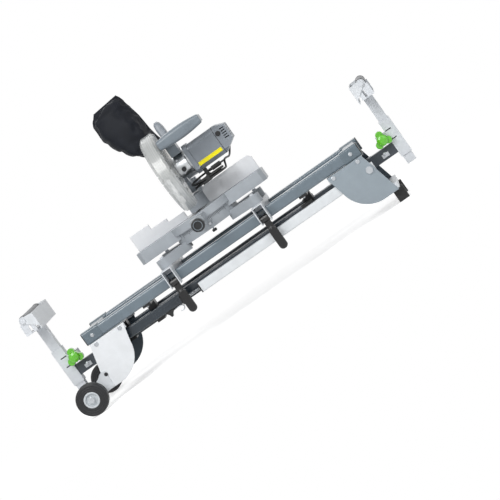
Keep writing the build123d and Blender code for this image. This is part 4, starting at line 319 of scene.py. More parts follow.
@dataclass(frozen=True)
class TurnedSteel:
    """Ground or turned steel with fine rings round one axis."""

    name: str
    colour: str
    roughness: float
    centre: Point
    ring_mm: float = 1.2
    ring_depth_mm: float = 0.04

    def make(self) -> bpy.types.Material:
        """Builds the material's nodes.

        Returns:
            The finished material.
        """
        material, tree, shader = new_material(self.name)
        radius, _ = round_axis(tree, self.centre)
        along = node(tree, "ShaderNodeCombineXYZ", links={"X": radius})
        rings = node(tree, "ShaderNodeTexNoise", {"Scale": 1 / (self.ring_mm * MM), "Detail": 3.0},
                     {"Vector": along.outputs["Vector"]}).outputs["Fac"]
        value = node(tree, "ShaderNodeMapRange", {"To Min": 0.85, "To Max": 1.12}, {"Value": rings})
        tone = node(tree, "ShaderNodeHueSaturation", {"Color": srgb(self.colour)},
                    {"Value": value.outputs["Result"]})
        tree.links.new(tone.outputs["Color"], shader.inputs["Base Color"])
        rough = node(tree, "ShaderNodeMapRange",
                     {"To Min": self.roughness - 0.08, "To Max": self.roughness + 0.1}, {"Value": rings})
        tree.links.new(rough.outputs["Result"], shader.inputs["Roughness"])
        shader.inputs["Metallic"].default_value = 1.0
        bump = node(tree, "ShaderNodeBump", {"Strength": 0.4, "Distance": self.ring_depth_mm * MM},
                    {"Height": rings})
        tree.links.new(bump.outputs["Normal"], shader.inputs["Normal"])
        return material


@dataclass(frozen=True)
class ClearPolycarbonate:
    """Clear moulded polycarbonate with a faint grey body and fine rubbing streaks round the blade's axis."""

    name: str
    colour: str
    centre: Point
    alpha: float = 0.46
    streak_mm: float = 3.0
    ior: float = 1.58

    def make(self) -> bpy.types.Material:
        """Builds the material's nodes.

        Returns:
            The finished material.
        """
        material, tree, shader = new_material(self.name)
        radius, along = round_axis(tree, self.centre)
        across = node(tree, "ShaderNodeCombineXYZ", links={"X": radius, "Y": along})
        streaks = node(tree, "ShaderNodeTexNoise", {"Scale": 1 / (self.streak_mm * MM), "Detail": 2.0},
                       {"Vector": across.outputs["Vector"]}).outputs["Fac"]
        body = node(tree, "ShaderNodeMapRange",
                    {**NOISE_SPAN, "To Min": self.alpha - 0.08, "To Max": self.alpha + 0.10},
                    {"Value": streaks})
        tree.links.new(body.outputs["Result"], shader.inputs["Alpha"])
        rough = node(tree, "ShaderNodeMapRange", {"To Min": 0.12, "To Max": 0.26}, {"Value": streaks})
        tree.links.new(rough.outputs["Result"], shader.inputs["Roughness"])
        shade = node(tree, "ShaderNodeMapRange", {"To Min": 0.92, "To Max": 1.06}, {"Value": streaks})
        tint = node(tree, "ShaderNodeHueSaturation", {"Color": srgb(self.colour)},
                    {"Value": shade.outputs["Result"]})
        tree.links.new(tint.outputs["Color"], shader.inputs["Base Color"])
        shader.inputs["IOR"].default_value = self.ior
        return material


@dataclass(frozen=True)
class WovenCloth:
    """Plain-woven polyester with a dull sheen; the threads are drawn coarser than life to be seen."""

    name: str
    colour: str
    thread_mm: float = 1.6
    thread_depth_mm: float = 0.25
    cloud_mm: float = 30.0
    roughness: float = 0.6
    gloss: float = 0.22
    wave_scale: float = 6.2832

    def make(self) -> bpy.types.Material:
        """Builds the material's nodes.

        Returns:
            The finished material.
        """
        material, tree, shader = new_material(self.name)
        place = node(tree, "ShaderNodeTexCoord").outputs["Object"]
        # With this scale one band and the gap beside it are about two threads wide.
        scale = 1 / (self.thread_mm * MM * self.wave_scale)
        heights = []
        for axis in ("X", "Z"):
            wave = node(tree, "ShaderNodeTexWave",
                        {"wave_type": "BANDS", "bands_direction": axis, "Scale": scale,
                         "Distortion": 0.4, "Detail": 1.0}, {"Vector": place})
            heights.append(wave.outputs["Fac"])
        weave = node(tree, "ShaderNodeMath", {"operation": "MULTIPLY"}, {0: heights[0], 1: heights[1]})
        cloud = node(tree, "ShaderNodeTexNoise", {"Scale": 1 / (self.cloud_mm * MM), "Detail": 5.0},
                     {"Vector": place})
        # Painted shade: the colour is darker in the gaps between the threads, and it also changes in soft
        # clouds.
        both = node(tree, "ShaderNodeMath", {"operation": "MULTIPLY_ADD", 1: 0.35},
                    {0: weave.outputs["Value"], 2: cloud.outputs["Fac"]})
        value = node(tree, "ShaderNodeMapRange",
                     {"From Min": 0.2, "From Max": 1.1, "To Min": 0.7, "To Max": 1.5},
                     {"Value": both.outputs["Value"]})
        tone = node(tree, "ShaderNodeHueSaturation", {"Color": srgb(self.colour)},
                    {"Value": value.outputs["Result"]})
        tree.links.new(tone.outputs["Color"], shader.inputs["Base Color"])
        shader.inputs["Roughness"].default_value = self.roughness
        # The gaps between the threads swallow part of the gloss.
        shader.inputs["Specular IOR Level"].default_value = self.gloss
        bump = node(tree, "ShaderNodeBump", {"Strength": 0.5, "Distance": self.thread_depth_mm * MM},
                    {"Height": weave.outputs["Value"]})
        tree.links.new(bump.outputs["Normal"], shader.inputs["Normal"])
        return material


AnyFinish = Union[Finish, TurnedSteel, ClearPolycarbonate, WovenCloth]


@dataclass
class Palette:
    """Every finish of the saw and its stand, made once."""

    made: dict[str, bpy.types.Material] = field(default_factory=dict)
    # The CAD nodes that look different from the rest of their slot; on the end plates and the left legs the
    # difference is painted shade.
    own: dict[str, str] = field(default_factory=lambda: {
        "end_plates": "plate_pair", "fences": "fence_paint",
        "gearbox": "gear_alu", "upper_guard": "guard_alu",
        "leg_left_front": "leg_dark", "leg_left_rear": "leg_dark",
        "lever_left": "lever_gloss", "lever_right": "lever_gloss"})

    def build(self) -> None:
        """Makes the materials that the nodes and the added pieces use."""
        finishes = {**self.coats(), **self.metals(), **self.plastics(), **self.rubbers(), **self.others()}
        self.made = {slot: finish.make() for slot, finish in finishes.items()}

    def coats(self) -> dict[str, Finish]:
        """The powder coats and paints.

        Returns:
            The finishes by slot.
        """
        return {
            # Powder coat on drawn tube: satin to glossy, with soft dimples that break up highlights.
            "rail_paint": Finish(
                "powder_coated_steel_blue_grey", "#687680", "#adb7bd", roughness=0.20,
                grain=Grain.ORANGE_PEEL, grain_mm=2.5, relief_mm=0.03, coat=0.5, edge_mm=6.0),
            # Powder coat on bent sheet: pale and satin, rubbed to grey on the edges.
            "plate_paint": Finish(
                "powder_coated_steel_pale", "#d8dce0", "#9aa0a5", roughness=0.36,
                grain=Grain.ORANGE_PEEL, grain_mm=2.5, relief_mm=0.02),
            # The same coat on the end plates: near white at the wheels, with painted shade that makes it mid
            # grey at the handle and dark on the faces inside.
            "plate_pair": Finish(
                "powder_coated_steel_painted_shade", "#e6e9ec", "#b4babf", roughness=0.38,
                grain=Grain.ORANGE_PEEL, grain_mm=2.5, relief_mm=0.05, mottle=0.04,
                right_shade_colour="#929da5", inner_shade_colour="#35414a"),
            # Powder coat on the right legs: pale, with painted shade that darkens the faces inside.
            "leg_paint": Finish(
                "powder_coated_steel_white_shaded_inside", "#dfe3e6", "#a2a7ab", roughness=0.34,
                grain=Grain.ORANGE_PEEL, grain_mm=2.5, relief_mm=0.04, inner_shade_colour="#262c33"),
            # Powder coat on the left legs, drawn dark slate as painted shade, with a soft shine.
            "leg_dark": Finish(
                "powder_coated_steel_shaded_slate", "#2b343c", "#6f7a83", roughness=0.26,
                grain=Grain.ORANGE_PEEL, grain_mm=2.5, relief_mm=0.03, edge_mm=3.0),
            # Powder coat on posts and beams: light grey and even.
            "post_steel": Finish(
                "powder_coated_steel_light_grey", "#d6dadf", "#e6e8ea", roughness=0.34,
                grain=Grain.ORANGE_PEEL, grain_mm=2.5, relief_mm=0.02),
            # Powder coat on the extension bars: dark, rubbed pale on the edges.
            "bar_dark": Finish(
                "powder_coated_steel_dark", "#3f464d", "#8b8f93", roughness=0.38,
                grain=Grain.ORANGE_PEEL, grain_mm=2.5, relief_mm=0.05),
            # Glossy paint on a casting: mid grey with sand pits, rubbed pale on the edges.
            "frame_casting": Finish(
                "die_cast_aluminium_painted", "#5f6d76", "#a7b0b6", roughness=0.28,
                grain=Grain.SAND, grain_mm=1.4, relief_mm=0.05, mottle=0.06, wear=0.6, coat=0.3),
            # Silver paint on a casting: an even grey with sand pits.
            "cast_alu": Finish(
                "die_cast_aluminium_silver_paint", "#a3a9af", "#d6dadd", roughness=0.34,
                grain=Grain.SAND, grain_mm=1.6, relief_mm=0.07, mottle=0.06, wear=0.6),
            # Pale paint on a casting: nearly white, with shallow pits.
            "fence_paint": Finish(
                "die_cast_aluminium_pale_paint", "#e0e2e5", "#f0f1f3", roughness=0.36,
                grain=Grain.SAND, grain_mm=1.6, relief_mm=0.05, mottle=0.04, wear=0.4),
        }

    def metals(self) -> dict[str, Finish]:
        """The bare and plated metals.

        Returns:
            The finishes by slot.
        """
        return {
            # Bare casting, shot-blasted: bright metal with a soft grain.
            "gear_alu": Finish(
                "die_cast_aluminium_blasted", "#c6c9cb", "#e6e7e8", roughness=0.36,
                grain=Grain.SAND, grain_mm=1.4, relief_mm=0.05, mottle=0.05, wear=0.4, metallic=1.0),
            # Bare casting, brushed: bright metal with broad soft highlights.
            "guard_alu": Finish(
                "die_cast_aluminium_brushed", "#bab9b5", "#e6e5e2", roughness=0.30,
                grain=Grain.SKIN, grain_mm=4.0, relief_mm=0.04, mottle=0.05, wear=0.4, metallic=1.0),
            # Zinc plate: bright but slightly cloudy.
            "zinc": Finish(
                "zinc_plated_steel", "#b4b8bc", "#dfe1e3", roughness=0.30,
                grain=Grain.SKIN, grain_mm=3.0, relief_mm=0.03, mottle=0.10, wear=0.4, metallic=1.0),
        }

    def plastics(self) -> dict[str, Finish]:
        """The moulded plastics.

        Returns:
            The finishes by slot.
        """
        return {
            # Glass-filled nylon: black, with an even fine grain that dulls its shine.
            "black_plastic": Finish(
                "glass_filled_nylon_black", "#101114", "#3a3c40", roughness=0.36,
                grain=Grain.SPARK, grain_mm=1.2, relief_mm=0.04, mottle=0.08, wear=0.4),
            # Smooth moulded nylon: near black, with a white line where the edge turns to the lamp.
            "lever_gloss": Finish(
                "nylon_black_gloss_moulded", "#08090b", "#2c2e32", roughness=0.16,
                grain=Grain.SKIN, grain_mm=5.0, relief_mm=0.02, mottle=0.05, wear=0.2, coat=0.1, edge_mm=7.0),
            # Moulded polypropylene: pale grey with a fine grain.
            "hub_plastic": Finish(
                "polypropylene_pale_moulded", "#c9ced2", "#8f9499", roughness=0.34,
                grain=Grain.SPARK, grain_mm=1.4, relief_mm=0.04),
            # Turned nylon: dark grey and smooth.
            "roller_plastic": Finish(
                "nylon_grey_turned", "#3c4045", "#85898d", roughness=0.40,
                grain=Grain.SKIN, grain_mm=3.0, relief_mm=0.05),
            # Moulded ABS: a clear bright green with a shine.
            "lime": Finish(
                "abs_lime_moulded", "#62c31f", "#a4e070", roughness=0.18,
                grain=Grain.SPARK, grain_mm=1.3, relief_mm=0.02, mottle=0.04, coat=0.6, edge_mm=3.0),
            # Glass-filled nylon: mid grey, with an even fine grain that stays matt.
            "motor_plastic": Finish(
                "glass_filled_nylon_grey", "#888f97", "#b2b8be", roughness=0.38,
                grain=Grain.SPARK, grain_mm=1.4, relief_mm=0.06),
            # Moulded ABS: slate, a little glossier than the motor.
            "handle_plastic": Finish(
                "abs_slate_moulded", "#747e86", "#9fa8af", roughness=0.32,
                grain=Grain.SPARK, grain_mm=1.4, relief_mm=0.05),
        }

    def rubbers(self) -> dict[str, Finish]:
        """The rubbers.

        Returns:
            The finishes by slot.
        """
        return {
            # Moulded rubber: dull, with dusty edges.
            "rubber": Finish(
                "natural_rubber_moulded", "#161718", "#3b3c3d", roughness=0.65,
                grain=Grain.SAND, grain_mm=1.5, relief_mm=0.08, mottle=0.12, wear=0.5),
            # Solid rubber: nearly black and dull, paler where it is rubbed.
            "tyre": Finish(
                "solid_rubber_tyre", "#0a0b10", "#2a2b2f", roughness=0.50,
                grain=Grain.SAND, grain_mm=1.8, relief_mm=0.08, mottle=0.12, wear=0.6),
            # Extruded rubber: black with a soft shine.
            "cord": Finish(
                "rubber_cord_sheath", "#0f1011", "#2a2b2c", roughness=0.48,
                grain=Grain.SKIN, grain_mm=2.0, relief_mm=0.03, mottle=0.10, wear=0.3),
        }

    def others(self) -> dict[str, AnyFinish]:
        """Film, ink, the blade's steel, the clear guard and the bag's cloth.

        Returns:
            The finishes by slot.
        """
        axis_low, axis_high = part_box("blade")
        blade_centre = tuple((axis_low + axis_high) / 2)
        return {
            # Vinyl film: flat, bright and a little glossy, without print.
            "strip": Finish(
                "vinyl_strip_yellow", "#fff000", "#fff6b0", roughness=0.35,
                grain=Grain.SKIN, grain_mm=5.0, relief_mm=0.02, mottle=0.02, wear=0.1),
            # Pad-printed ink: thin, dark and matt.
            "ink": Finish(
                "pad_printed_ink", "#26282a", "#4a4c4e", roughness=0.55,
                grain=Grain.SKIN, grain_mm=3.0, relief_mm=0.01, mottle=0.05, wear=0.0),
            # Ground steel: fine rings that draw the light into a fan.
            "blade_steel": TurnedSteel("ground_tool_steel", "#b3b7bb", 0.28, blade_centre),
            # Clear polycarbonate: see-through, with faint streaks from rubbing.
            "clear_guard": ClearPolycarbonate("clear_polycarbonate", "#cfd2d2", blade_centre),
            # Woven polyester: navy, nearly black, and dull.
            "bag": WovenCloth("woven_polyester_navy", "#0c1018"),
        }

    def dress_frame(self) -> None:
        """Gives each CAD node the finish of its slot, or its own one where it has one."""
        for part in frame["record"]["subparts"]:
            piece = frame["nodes"][part["node"]]
            piece.data.materials.clear()
            piece.data.materials.append(self.made[self.own.get(part["node"], part["material_slot"])])
        LOG.info("frame dressed: %d nodes", len(frame["nodes"]))

    def put_on(self, piece: bpy.types.Object, slot: str, body: str) -> bpy.types.Object:
        """Dresses an added piece and lets it move with its body.

        Args:
            piece: the new object, in place.
            slot: the finish's name.
            body: the body that carries the piece.

        Returns:
            The same object.
        """
        piece.data.materials.clear()
        piece.data.materials.append(self.made[slot])
        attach(piece, body)
        LOG.info("piece %s on %s", piece.name, body)
        return piece

    def add(self, name: str, fill: Filler, slot: str, body: str, edge: float = 0.0,
            smooth: bool = False) -> bpy.types.Object:
        """Makes a piece, rounds its edges and dresses it.

        Args:
            name: the piece's name.
            fill: adds the geometry, in metres in the frame.
            slot: the finish's name.
            body: the body that carries the piece.
            edge: the bevel's width in metres, or 0 for none.
            smooth: shades the faces smooth.

        Returns:
            The new object.
        """
        piece = link_mesh(name, fill, smooth)
        if edge:
            bevel(piece, edge)
        return self.put_on(piece, slot, body)


def link_mesh(name: str, fill: Filler, smooth: bool = False) -> bpy.types.Object:
    """Makes a mesh object from a function that fills a bmesh.

    Args:
        name: the piece's name.
        fill: adds the geometry, in metres in the frame.
        smooth: shades the faces smooth.

    Returns:
        The new object.
    """
    bm = bmesh.new()
    fill(bm)
    bmesh.ops.recalc_face_normals(bm, faces=bm.faces)
    for face in bm.faces:
        face.smooth = smooth
    mesh = bpy.data.meshes.new(name)
    bm.to_mesh(mesh)
    bm.free()
    made = bpy.data.objects.new(name, mesh)
    bpy.context.collection.objects.link(made)
    return made


def bevel(piece: bpy.types.Object, width: float, segments: int = 2) -> None:
    """Rounds a piece's sharp edges.

    Args:
        piece: the object.
        width: the bevel's width in metres.
        segments: steps across the bevel.
    """
    edge = piece.modifiers.new("edge", "BEVEL")
    edge.width = width
    edge.segments = segments
    edge.limit_method = "ANGLE"


def turn_to(axis: Sequence[float]) -> Matrix:
    """A rotation that takes +Z to an axis."""
    return Vector((0, 0, 1)).rotation_difference(Vector(axis)).to_matrix().to_4x4()


def angles(count: int) -> list[float]:
    """Even steps round a circle, in radians."""
    return [2 * math.pi * k / count for k in range(count)]


def add_hex(bm: bmesh.types.BMesh, place: Sequence[float], axis: Sequence[float], across: float,
            height: float, sides: int = 6) -> None:
    """Adds a bolt head with a washer face.

    Args:
        bm: the mesh being filled.
        place: the centre of its seat, in metres.
        axis: the way it stands out.
        across: its width in metres.
        height: its height in metres.
        sides: six for a hex, more for a round head.
    """
    turn = Matrix.Translation(Vector(place)) @ turn_to(axis)
    # Each row has a lower and an upper radius as shares of the width, the middle and the depth
    # as shares of the height, and the sides: the washer, the head and its chamfered top.
    stack = ((0.62, 0.62 * 0.96, 0.06, 0.12, 24), (0.5, 0.5 * 0.96, 0.52, 0.80, sides),
             (0.42, 0.36, 0.96, 0.08, 24))
    for low, high, middle, depth, count in stack:
        bmesh.ops.create_cone(bm, cap_ends=True, segments=count, radius1=across * low, radius2=across * high,
                              depth=height * depth, matrix=turn @ Matrix.Translation((0, 0, height * middle)))


def add_ring(bm: bmesh.types.BMesh, place: Sequence[float], axis: Sequence[float], radius: float,
             thick: float, around: int = 40, across: int = 8) -> None:
    """Adds a torus.

    Args:
        bm: the mesh being filled.
        place: its centre.
        axis: its axis.
        radius: its middle radius.
        thick: its tube's radius.
        around: steps round the ring.
        across: steps round the tube.
    """
    turn = Matrix.Translation(Vector(place)) @ turn_to(axis)
    rows = []
    for a in angles(around):
        row = []
        for b in angles(across):
            reach = radius + thick * math.cos(b)
            spot = Vector((reach * math.cos(a), reach * math.sin(a), thick * math.sin(b)))
            row.append(bm.verts.new(turn @ spot))
        rows.append(row)
    for i in range(around):
        for j in range(across):
            k, n = (i + 1) % around, (j + 1) % across
            bm.faces.new((rows[i][j], rows[k][j], rows[k][n], rows[i][n]))


def add_loft(bm: bmesh.types.BMesh, rings: Sequence[Sequence[Vector]]) -> None:
    """Joins rings of equal count into a skin that is closed at both ends.

    Args:
        bm: the mesh being filled.
        rings: the rings, each a list of points.
    """
    made = [[bm.verts.new(p) for p in ring] for ring in rings]
    count = len(made[0])
    for low, high in zip(made, made[1:]):
        for j in range(count):
            bm.faces.new((low[j], low[(j + 1) % count], high[(j + 1) % count], high[j]))
    bm.faces.new(list(reversed(made[0])))
    bm.faces.new(made[-1])


def add_tube(bm: bmesh.types.BMesh, line: Sequence[Vector], radius: float, sides: int) -> None:
    """Adds a round tube along a line of points.

    Args:
        bm: the mesh being filled.
        line: the points.
        radius: the tube's radius.
        sides: steps round the tube.
    """
    rings = []
    for i, here in enumerate(line):
        ahead = line[min(i + 1, len(line) - 1)] - line[max(i - 1, 0)]
        turn = turn_to(ahead.normalized())
        rings.append([here + (turn @ Vector((radius * math.cos(a), radius * math.sin(a), 0)))
                      for a in angles(sides)])
    add_loft(bm, rings)


@dataclass(frozen=True)
class Station:
    """One level of the bag: its height, middle and half sizes, in millimetres."""

    z: float
    x: float
    y: float
    half_width: float
    half_depth: float

    def mixed(self, other: "Station", share: float) -> "Station":
        """A level part of the way to another one.

        Args:
            other: the level at a share of 1.
            share: how far to go; below 0 or above 1 it goes past the ends.

        Returns:
            The new level.
        """
        pairs = zip((self.z, self.x, self.y, self.half_width, self.half_depth),
                    (other.z, other.x, other.y, other.half_width, other.half_depth))
        return Station(*(low + (high - low) * share for low, high in pairs))


@dataclass
class DustBag:
    """The sewn bag behind the guard: cloth slack between its seams, piped sides, a hem and a collar."""

    palette: Palette
    body: str = "head"
    stations: tuple[Station, ...] = (
        Station(569, -6, 152, 14, 12),
        Station(590, -16, 158, 36, 32),
        Station(627, -46, 172, 52, 44),
        Station(669, -66, 184, 62, 50),
        Station(723, -80, 192, 71, 52),
        Station(785, -90, 196, 67, 38),
        Station(811, -87, 197, 57, 18),
        Station(821, -85, 197, 51, 5),
    )
    steps: int = 52
    around: int = 72
    squareness: float = 0.74
    ease: float = 0.35
    tilt: float = 0.10
    fan_fold: float = 0.060
    slump_fold: float = 0.040
    lean_fold: float = 0.034
    slack: float = 0.10
    pressure: float = 1.6
    sim_frames: int = 24
    reach_mm: float = 9.0
    seam_mm: float = 1.9
    seam_from: int = 4
    neck_rows: int = 3
    hem_steps: int = 24
    hem_fold: float = 2.4
    collar_rise: float = 0.024
    collar_over_mm: float = 14.0
    # Each step of the collar is a place along it and a radius, in millimetres.
    collar_profile: tuple[tuple[float, float], ...] = (
        (0.0, 20.5), (4.0, 23.5), (10.0, 22.5), (14.0, 24.5), (20.0, 23.0), (30.0, 24.5), (44.0, 22.0))

    def build(self) -> None:
        """Makes the bag, its seams, its hem and its collar."""
        bag = link_mesh("dust_bag_cloth", self.shell, smooth=True)
        self.settle(bag)
        skin = bag.modifiers.new("round", "SUBSURF")
        skin.levels = skin.render_levels = 1
        self.palette.put_on(bag, "bag", self.body)
        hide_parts("dust_bag")
        self.palette.add("dust_bag_seams", self.seams, "bag", self.body, smooth=True)
        self.palette.add("dust_bag_collar", self.collar, "black_plastic", self.body, smooth=True)

    def level(self, share: float) -> Station:
        """The bag's level at a share of the way up, eased between the stations.

        Args:
            share: 0 at the neck and 1 at the hem.

        Returns:
            The level there.
        """
        # The hem itself still lies between the last two stations.
        place = min(share, 0.9999) * (len(self.stations) - 1)
        index = int(place)
        rest = place - index
        before = self.stations[max(index - 1, 0)]
        low, high = self.stations[index], self.stations[index + 1]
        after = self.stations[min(index + 2, len(self.stations) - 1)]
        arc_low = before.mixed(low, 1 + rest).mixed(low.mixed(high, rest), rest)
        arc_high = low.mixed(high, rest).mixed(high.mixed(after, rest - 1), 1 - rest)
        straight = low.mixed(high, rest)
        return straight.mixed(arc_low.mixed(arc_high, rest), self.ease)

    def point(self, share: float, angle: float) -> Vector:
        """A point of the uncreased bag.

        Args:
            share: 0 at the neck and 1 at the hem.
            angle: the angle from +X, in radians.

        Returns:
            The point, in metres.
        """
        at = self.level(share)
        c, s = math.cos(angle), math.sin(angle)
        x = math.copysign(abs(c) ** self.squareness, c) * at.half_width
        y = math.copysign(abs(s) ** self.squareness, s) * at.half_depth
        return Vector((at.x + x, at.y + y, at.z + self.tilt * x * share)) * MM

    def crease(self, share: float, angle: float) -> float:
        """How far the folds push a point of the bag out or in.

        Args:
            share: 0 at the neck and 1 at the hem.
            angle: the angle from +X, in radians.

        Returns:
            The factor on the point's distance from the bag's middle.
        """
        # Six folds fan up from the neck, creases slump across the broad sides, and a lean runs round.
        fan = math.sin(6 * angle + 3 * share) * math.exp(-1.2 * share)
        slump = math.sin(19 * share + 2.3 * math.sin(2 * angle + 0.8)) * math.sin(angle) ** 2
        lean = math.sin(9 * share + 3 * angle) * math.sin(math.pi * share)
        return 1 + self.fan_fold * fan + self.slump_fold * slump + self.lean_fold * lean

    def shell(self, bm: bmesh.types.BMesh) -> None:
        """Lofts the bag's skin, with shallow folds for the cloth to settle in.

        Args:
            bm: the mesh being filled.
        """
        rings = []
        for i in range(self.steps + 1):
            share = i / self.steps
            at = self.level(share)
            middle = Vector((at.x, at.y, at.z)) * MM
            rings.append([middle + (self.point(share, angle) - middle) * self.crease(share, angle)
                          for angle in angles(self.around)])
        add_loft(bm, rings)

    def sewn(self) -> list[int]:
        """The points that thread holds: the neck, the hem and both side seams.

        Returns:
            Their numbers in the mesh.
        """
        last = self.steps * self.around
        held = set(range(self.neck_rows * self.around)) | set(range(last - self.around, last + self.around))
        for row in range(self.steps + 1):
            held |= {row * self.around, row * self.around + self.around // 2}
        return sorted(held)

    def settle(self, bag: bpy.types.Object) -> None:
        """Lets slack cloth swell between the seams, and keeps the settled shape in the mesh.

        Args:
            bag: the lofted bag; its points are moved.
        """
        bag.vertex_groups.new(name="sewn").add(self.sewn(), 1.0, "REPLACE")
        cloth = bag.modifiers.new("slack_cloth", "CLOTH")
        cloth.settings.quality = 6
        cloth.settings.mass = 0.2
        cloth.settings.bending_stiffness = 0.3
        cloth.settings.use_pressure = True
        cloth.settings.uniform_pressure_force = self.pressure
        cloth.settings.shrink_min = -self.slack
        cloth.settings.vertex_group_mass = "sewn"
        cloth.settings.effector_weights.gravity = 0.0
        cloth.collision_settings.use_collision = False
        for step in range(1, self.sim_frames + 1):
            bpy.context.scene.frame_set(step)
        settled = bag.evaluated_get(bpy.context.evaluated_depsgraph_get()).data
        places = [vertex.co.copy() for vertex in settled.vertices]
        bag.modifiers.remove(cloth)
        bpy.context.scene.frame_set(1)
        for vertex, place in zip(bag.data.vertices, places):
            move = place - vertex.co
            vertex.co += move * min(1.0, self.reach_mm * MM / max(move.length, 1e-9))

    def seams(self, bm: bmesh.types.BMesh) -> None:
        """Adds the piped seams up both sides and the rolled hem across the top.

        Args:
            bm: the mesh being filled.
        """
        for angle in (0.0, math.pi):
            line = [self.point(i / self.steps, angle) for i in range(self.seam_from, self.steps + 1)]
            add_tube(bm, line, self.seam_mm * MM, sides=8)
        hem = [self.point(1.0, math.pi * (1 - i / self.hem_steps)) for i in range(self.hem_steps + 1)]
        middle_y = self.stations[-1].y * MM
        add_tube(bm, [Vector((p.x, middle_y, p.z)) for p in hem], self.hem_fold * self.seam_mm * MM, sides=10)

    def collar(self, bm: bmesh.types.BMesh) -> None:
        """Adds the ribbed rubber collar that grips the dust port.

        Args:
            bm: the mesh being filled.
        """
        guard_low, guard_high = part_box("upper_guard")
        x = (guard_low.x + guard_high.x) / 2
        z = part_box("dust_bag")[0].z + self.collar_rise
        rings = []
        for along, radius in self.collar_profile:
            y = guard_high.y + (along - self.collar_over_mm) * MM
            rings.append([Vector((x + radius * MM * math.cos(a), y, z + radius * MM * math.sin(a)))
                          for a in angles(40)])
        add_loft(bm, rings)


@dataclass
class MainsCord:
    """The rubber lead from the motor's strain relief and the hank that its length is tied in.

    Sizes are in millimetres.
    """

    palette: Palette
    body: str = "head"
    radius_mm: float = 3.5
    hank_x: float = 94.0
    hank_y: float = -64.0
    hank_z: float = 421.5
    half_length: float = 62.0
    half_width: float = 50.0
    waist: float = 4.0
    pitch: float = 9.6
    layer_mm: float = 8.4
    turns_per_layer: int = 2
    plug_rise: float = 13.0
    relief: Point = (218.0, 73.0, 508.0)
    side: float = 34.0
    slant: float = 0.55
    run_in: float = 26.0
    dip: float = 23.0
    dip_length: float = 32.0
    dip_aside: float = 4.0
    arch: float = 2.0
    points_per_turn: int = 20

    def hank_point(self, turn: float) -> Vector:
        """A point of the hank's centre line.

        Args:
            turn: the place along the hank, counted in turns from its inner end.

        Returns:
            The point, in millimetres.
        """
        # Half a turn climbs from the lower layer to the upper one, and the end rises to the plug.
        layer = self.turns_per_layer
        last = 2 * layer + 0.5
        if turn <= layer:
            inset, level = self.pitch * turn, 0.0
        elif turn <= layer + 0.5:
            share = (turn - layer) / 0.5
            inset, level = self.pitch * layer, self.layer_mm * share * share * (3 - 2 * share)
        else:
            inset, level = self.pitch * max(last - turn, 0.0), self.layer_mm
        if turn > last - 0.25:
            share = min((turn - last + 0.25) / 0.5, 1.0)
            level += self.plug_rise * share * share * (3 - 2 * share)
        phase = 2 * math.pi * turn
        across = math.sin(phase)
        x = self.hank_x + (self.half_length - inset) * math.cos(phase)
        y = self.hank_y - (self.half_width - inset) * across + self.waist * across ** 3
        return Vector((x, y, self.hank_z + level))

    def hank_heading(self, turn: float) -> Vector:
        """The way the hank runs at a turn."""
        return (self.hank_point(turn + 1e-4) - self.hank_point(turn - 1e-4)).normalized()

    def route(self) -> list[Vector]:
        """The whole cord's points in millimetres, from the strain relief to the plug.

        Returns:
            The points, in order.
        """
        out = Vector((0, 1, 0))
        down = Vector((-self.slant, 0, -math.sqrt(1 - self.slant ** 2)))
        slope = math.sqrt(0.5) * self.side
        points = [Vector(self.relief)]
        points.append(points[-1] + out * self.side)
        points.append(points[-1] + (out + down) * slope)
        points.append(points[-1] + down * self.side)
        points.append(points[-1] + (down - out) * slope)
        first = self.hank_point(0) - self.hank_heading(0) * 2 * self.radius_mm
        run_in = first - self.hank_heading(0) * self.run_in
        high = Vector((run_in.x + self.dip_aside, run_in.y + self.dip_length, run_in.z + self.dip))
        points.append((points[-1] + high) * 0.5 + Vector((0, 0, self.arch)))
        points += [high, run_in, first]
        end_turn = 2 * self.turns_per_layer + 0.75
        count = round(end_turn * self.points_per_turn)
        points += [self.hank_point(end_turn * i / count) for i in range(count + 1)]
        points.append(self.hank_point(end_turn) + self.hank_heading(end_turn) * 2 * self.radius_mm)
        return points

    def build(self) -> None:
        """Makes the cord as one spline."""
        points = [p * MM for p in self.route()]
        curve = bpy.data.curves.new("mains_cord", "CURVE")
        curve.dimensions = "3D"
        curve.bevel_depth = self.radius_mm * MM
        curve.bevel_resolution = 4
        curve.resolution_u = 8
        curve.use_fill_caps = True
        spline = curve.splines.new("NURBS")
        spline.points.add(len(points) - 1)
        for knot, point in zip(spline.points, points):
            knot.co = (*point, 1.0)
        spline.order_u = 3
        spline.use_endpoint_u = True
        cord = bpy.data.objects.new("mains_cord", curve)
        bpy.context.collection.objects.link(cord)
        self.palette.put_on(cord, "cord", self.body)
        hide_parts("cord_lead", "cord_hank")


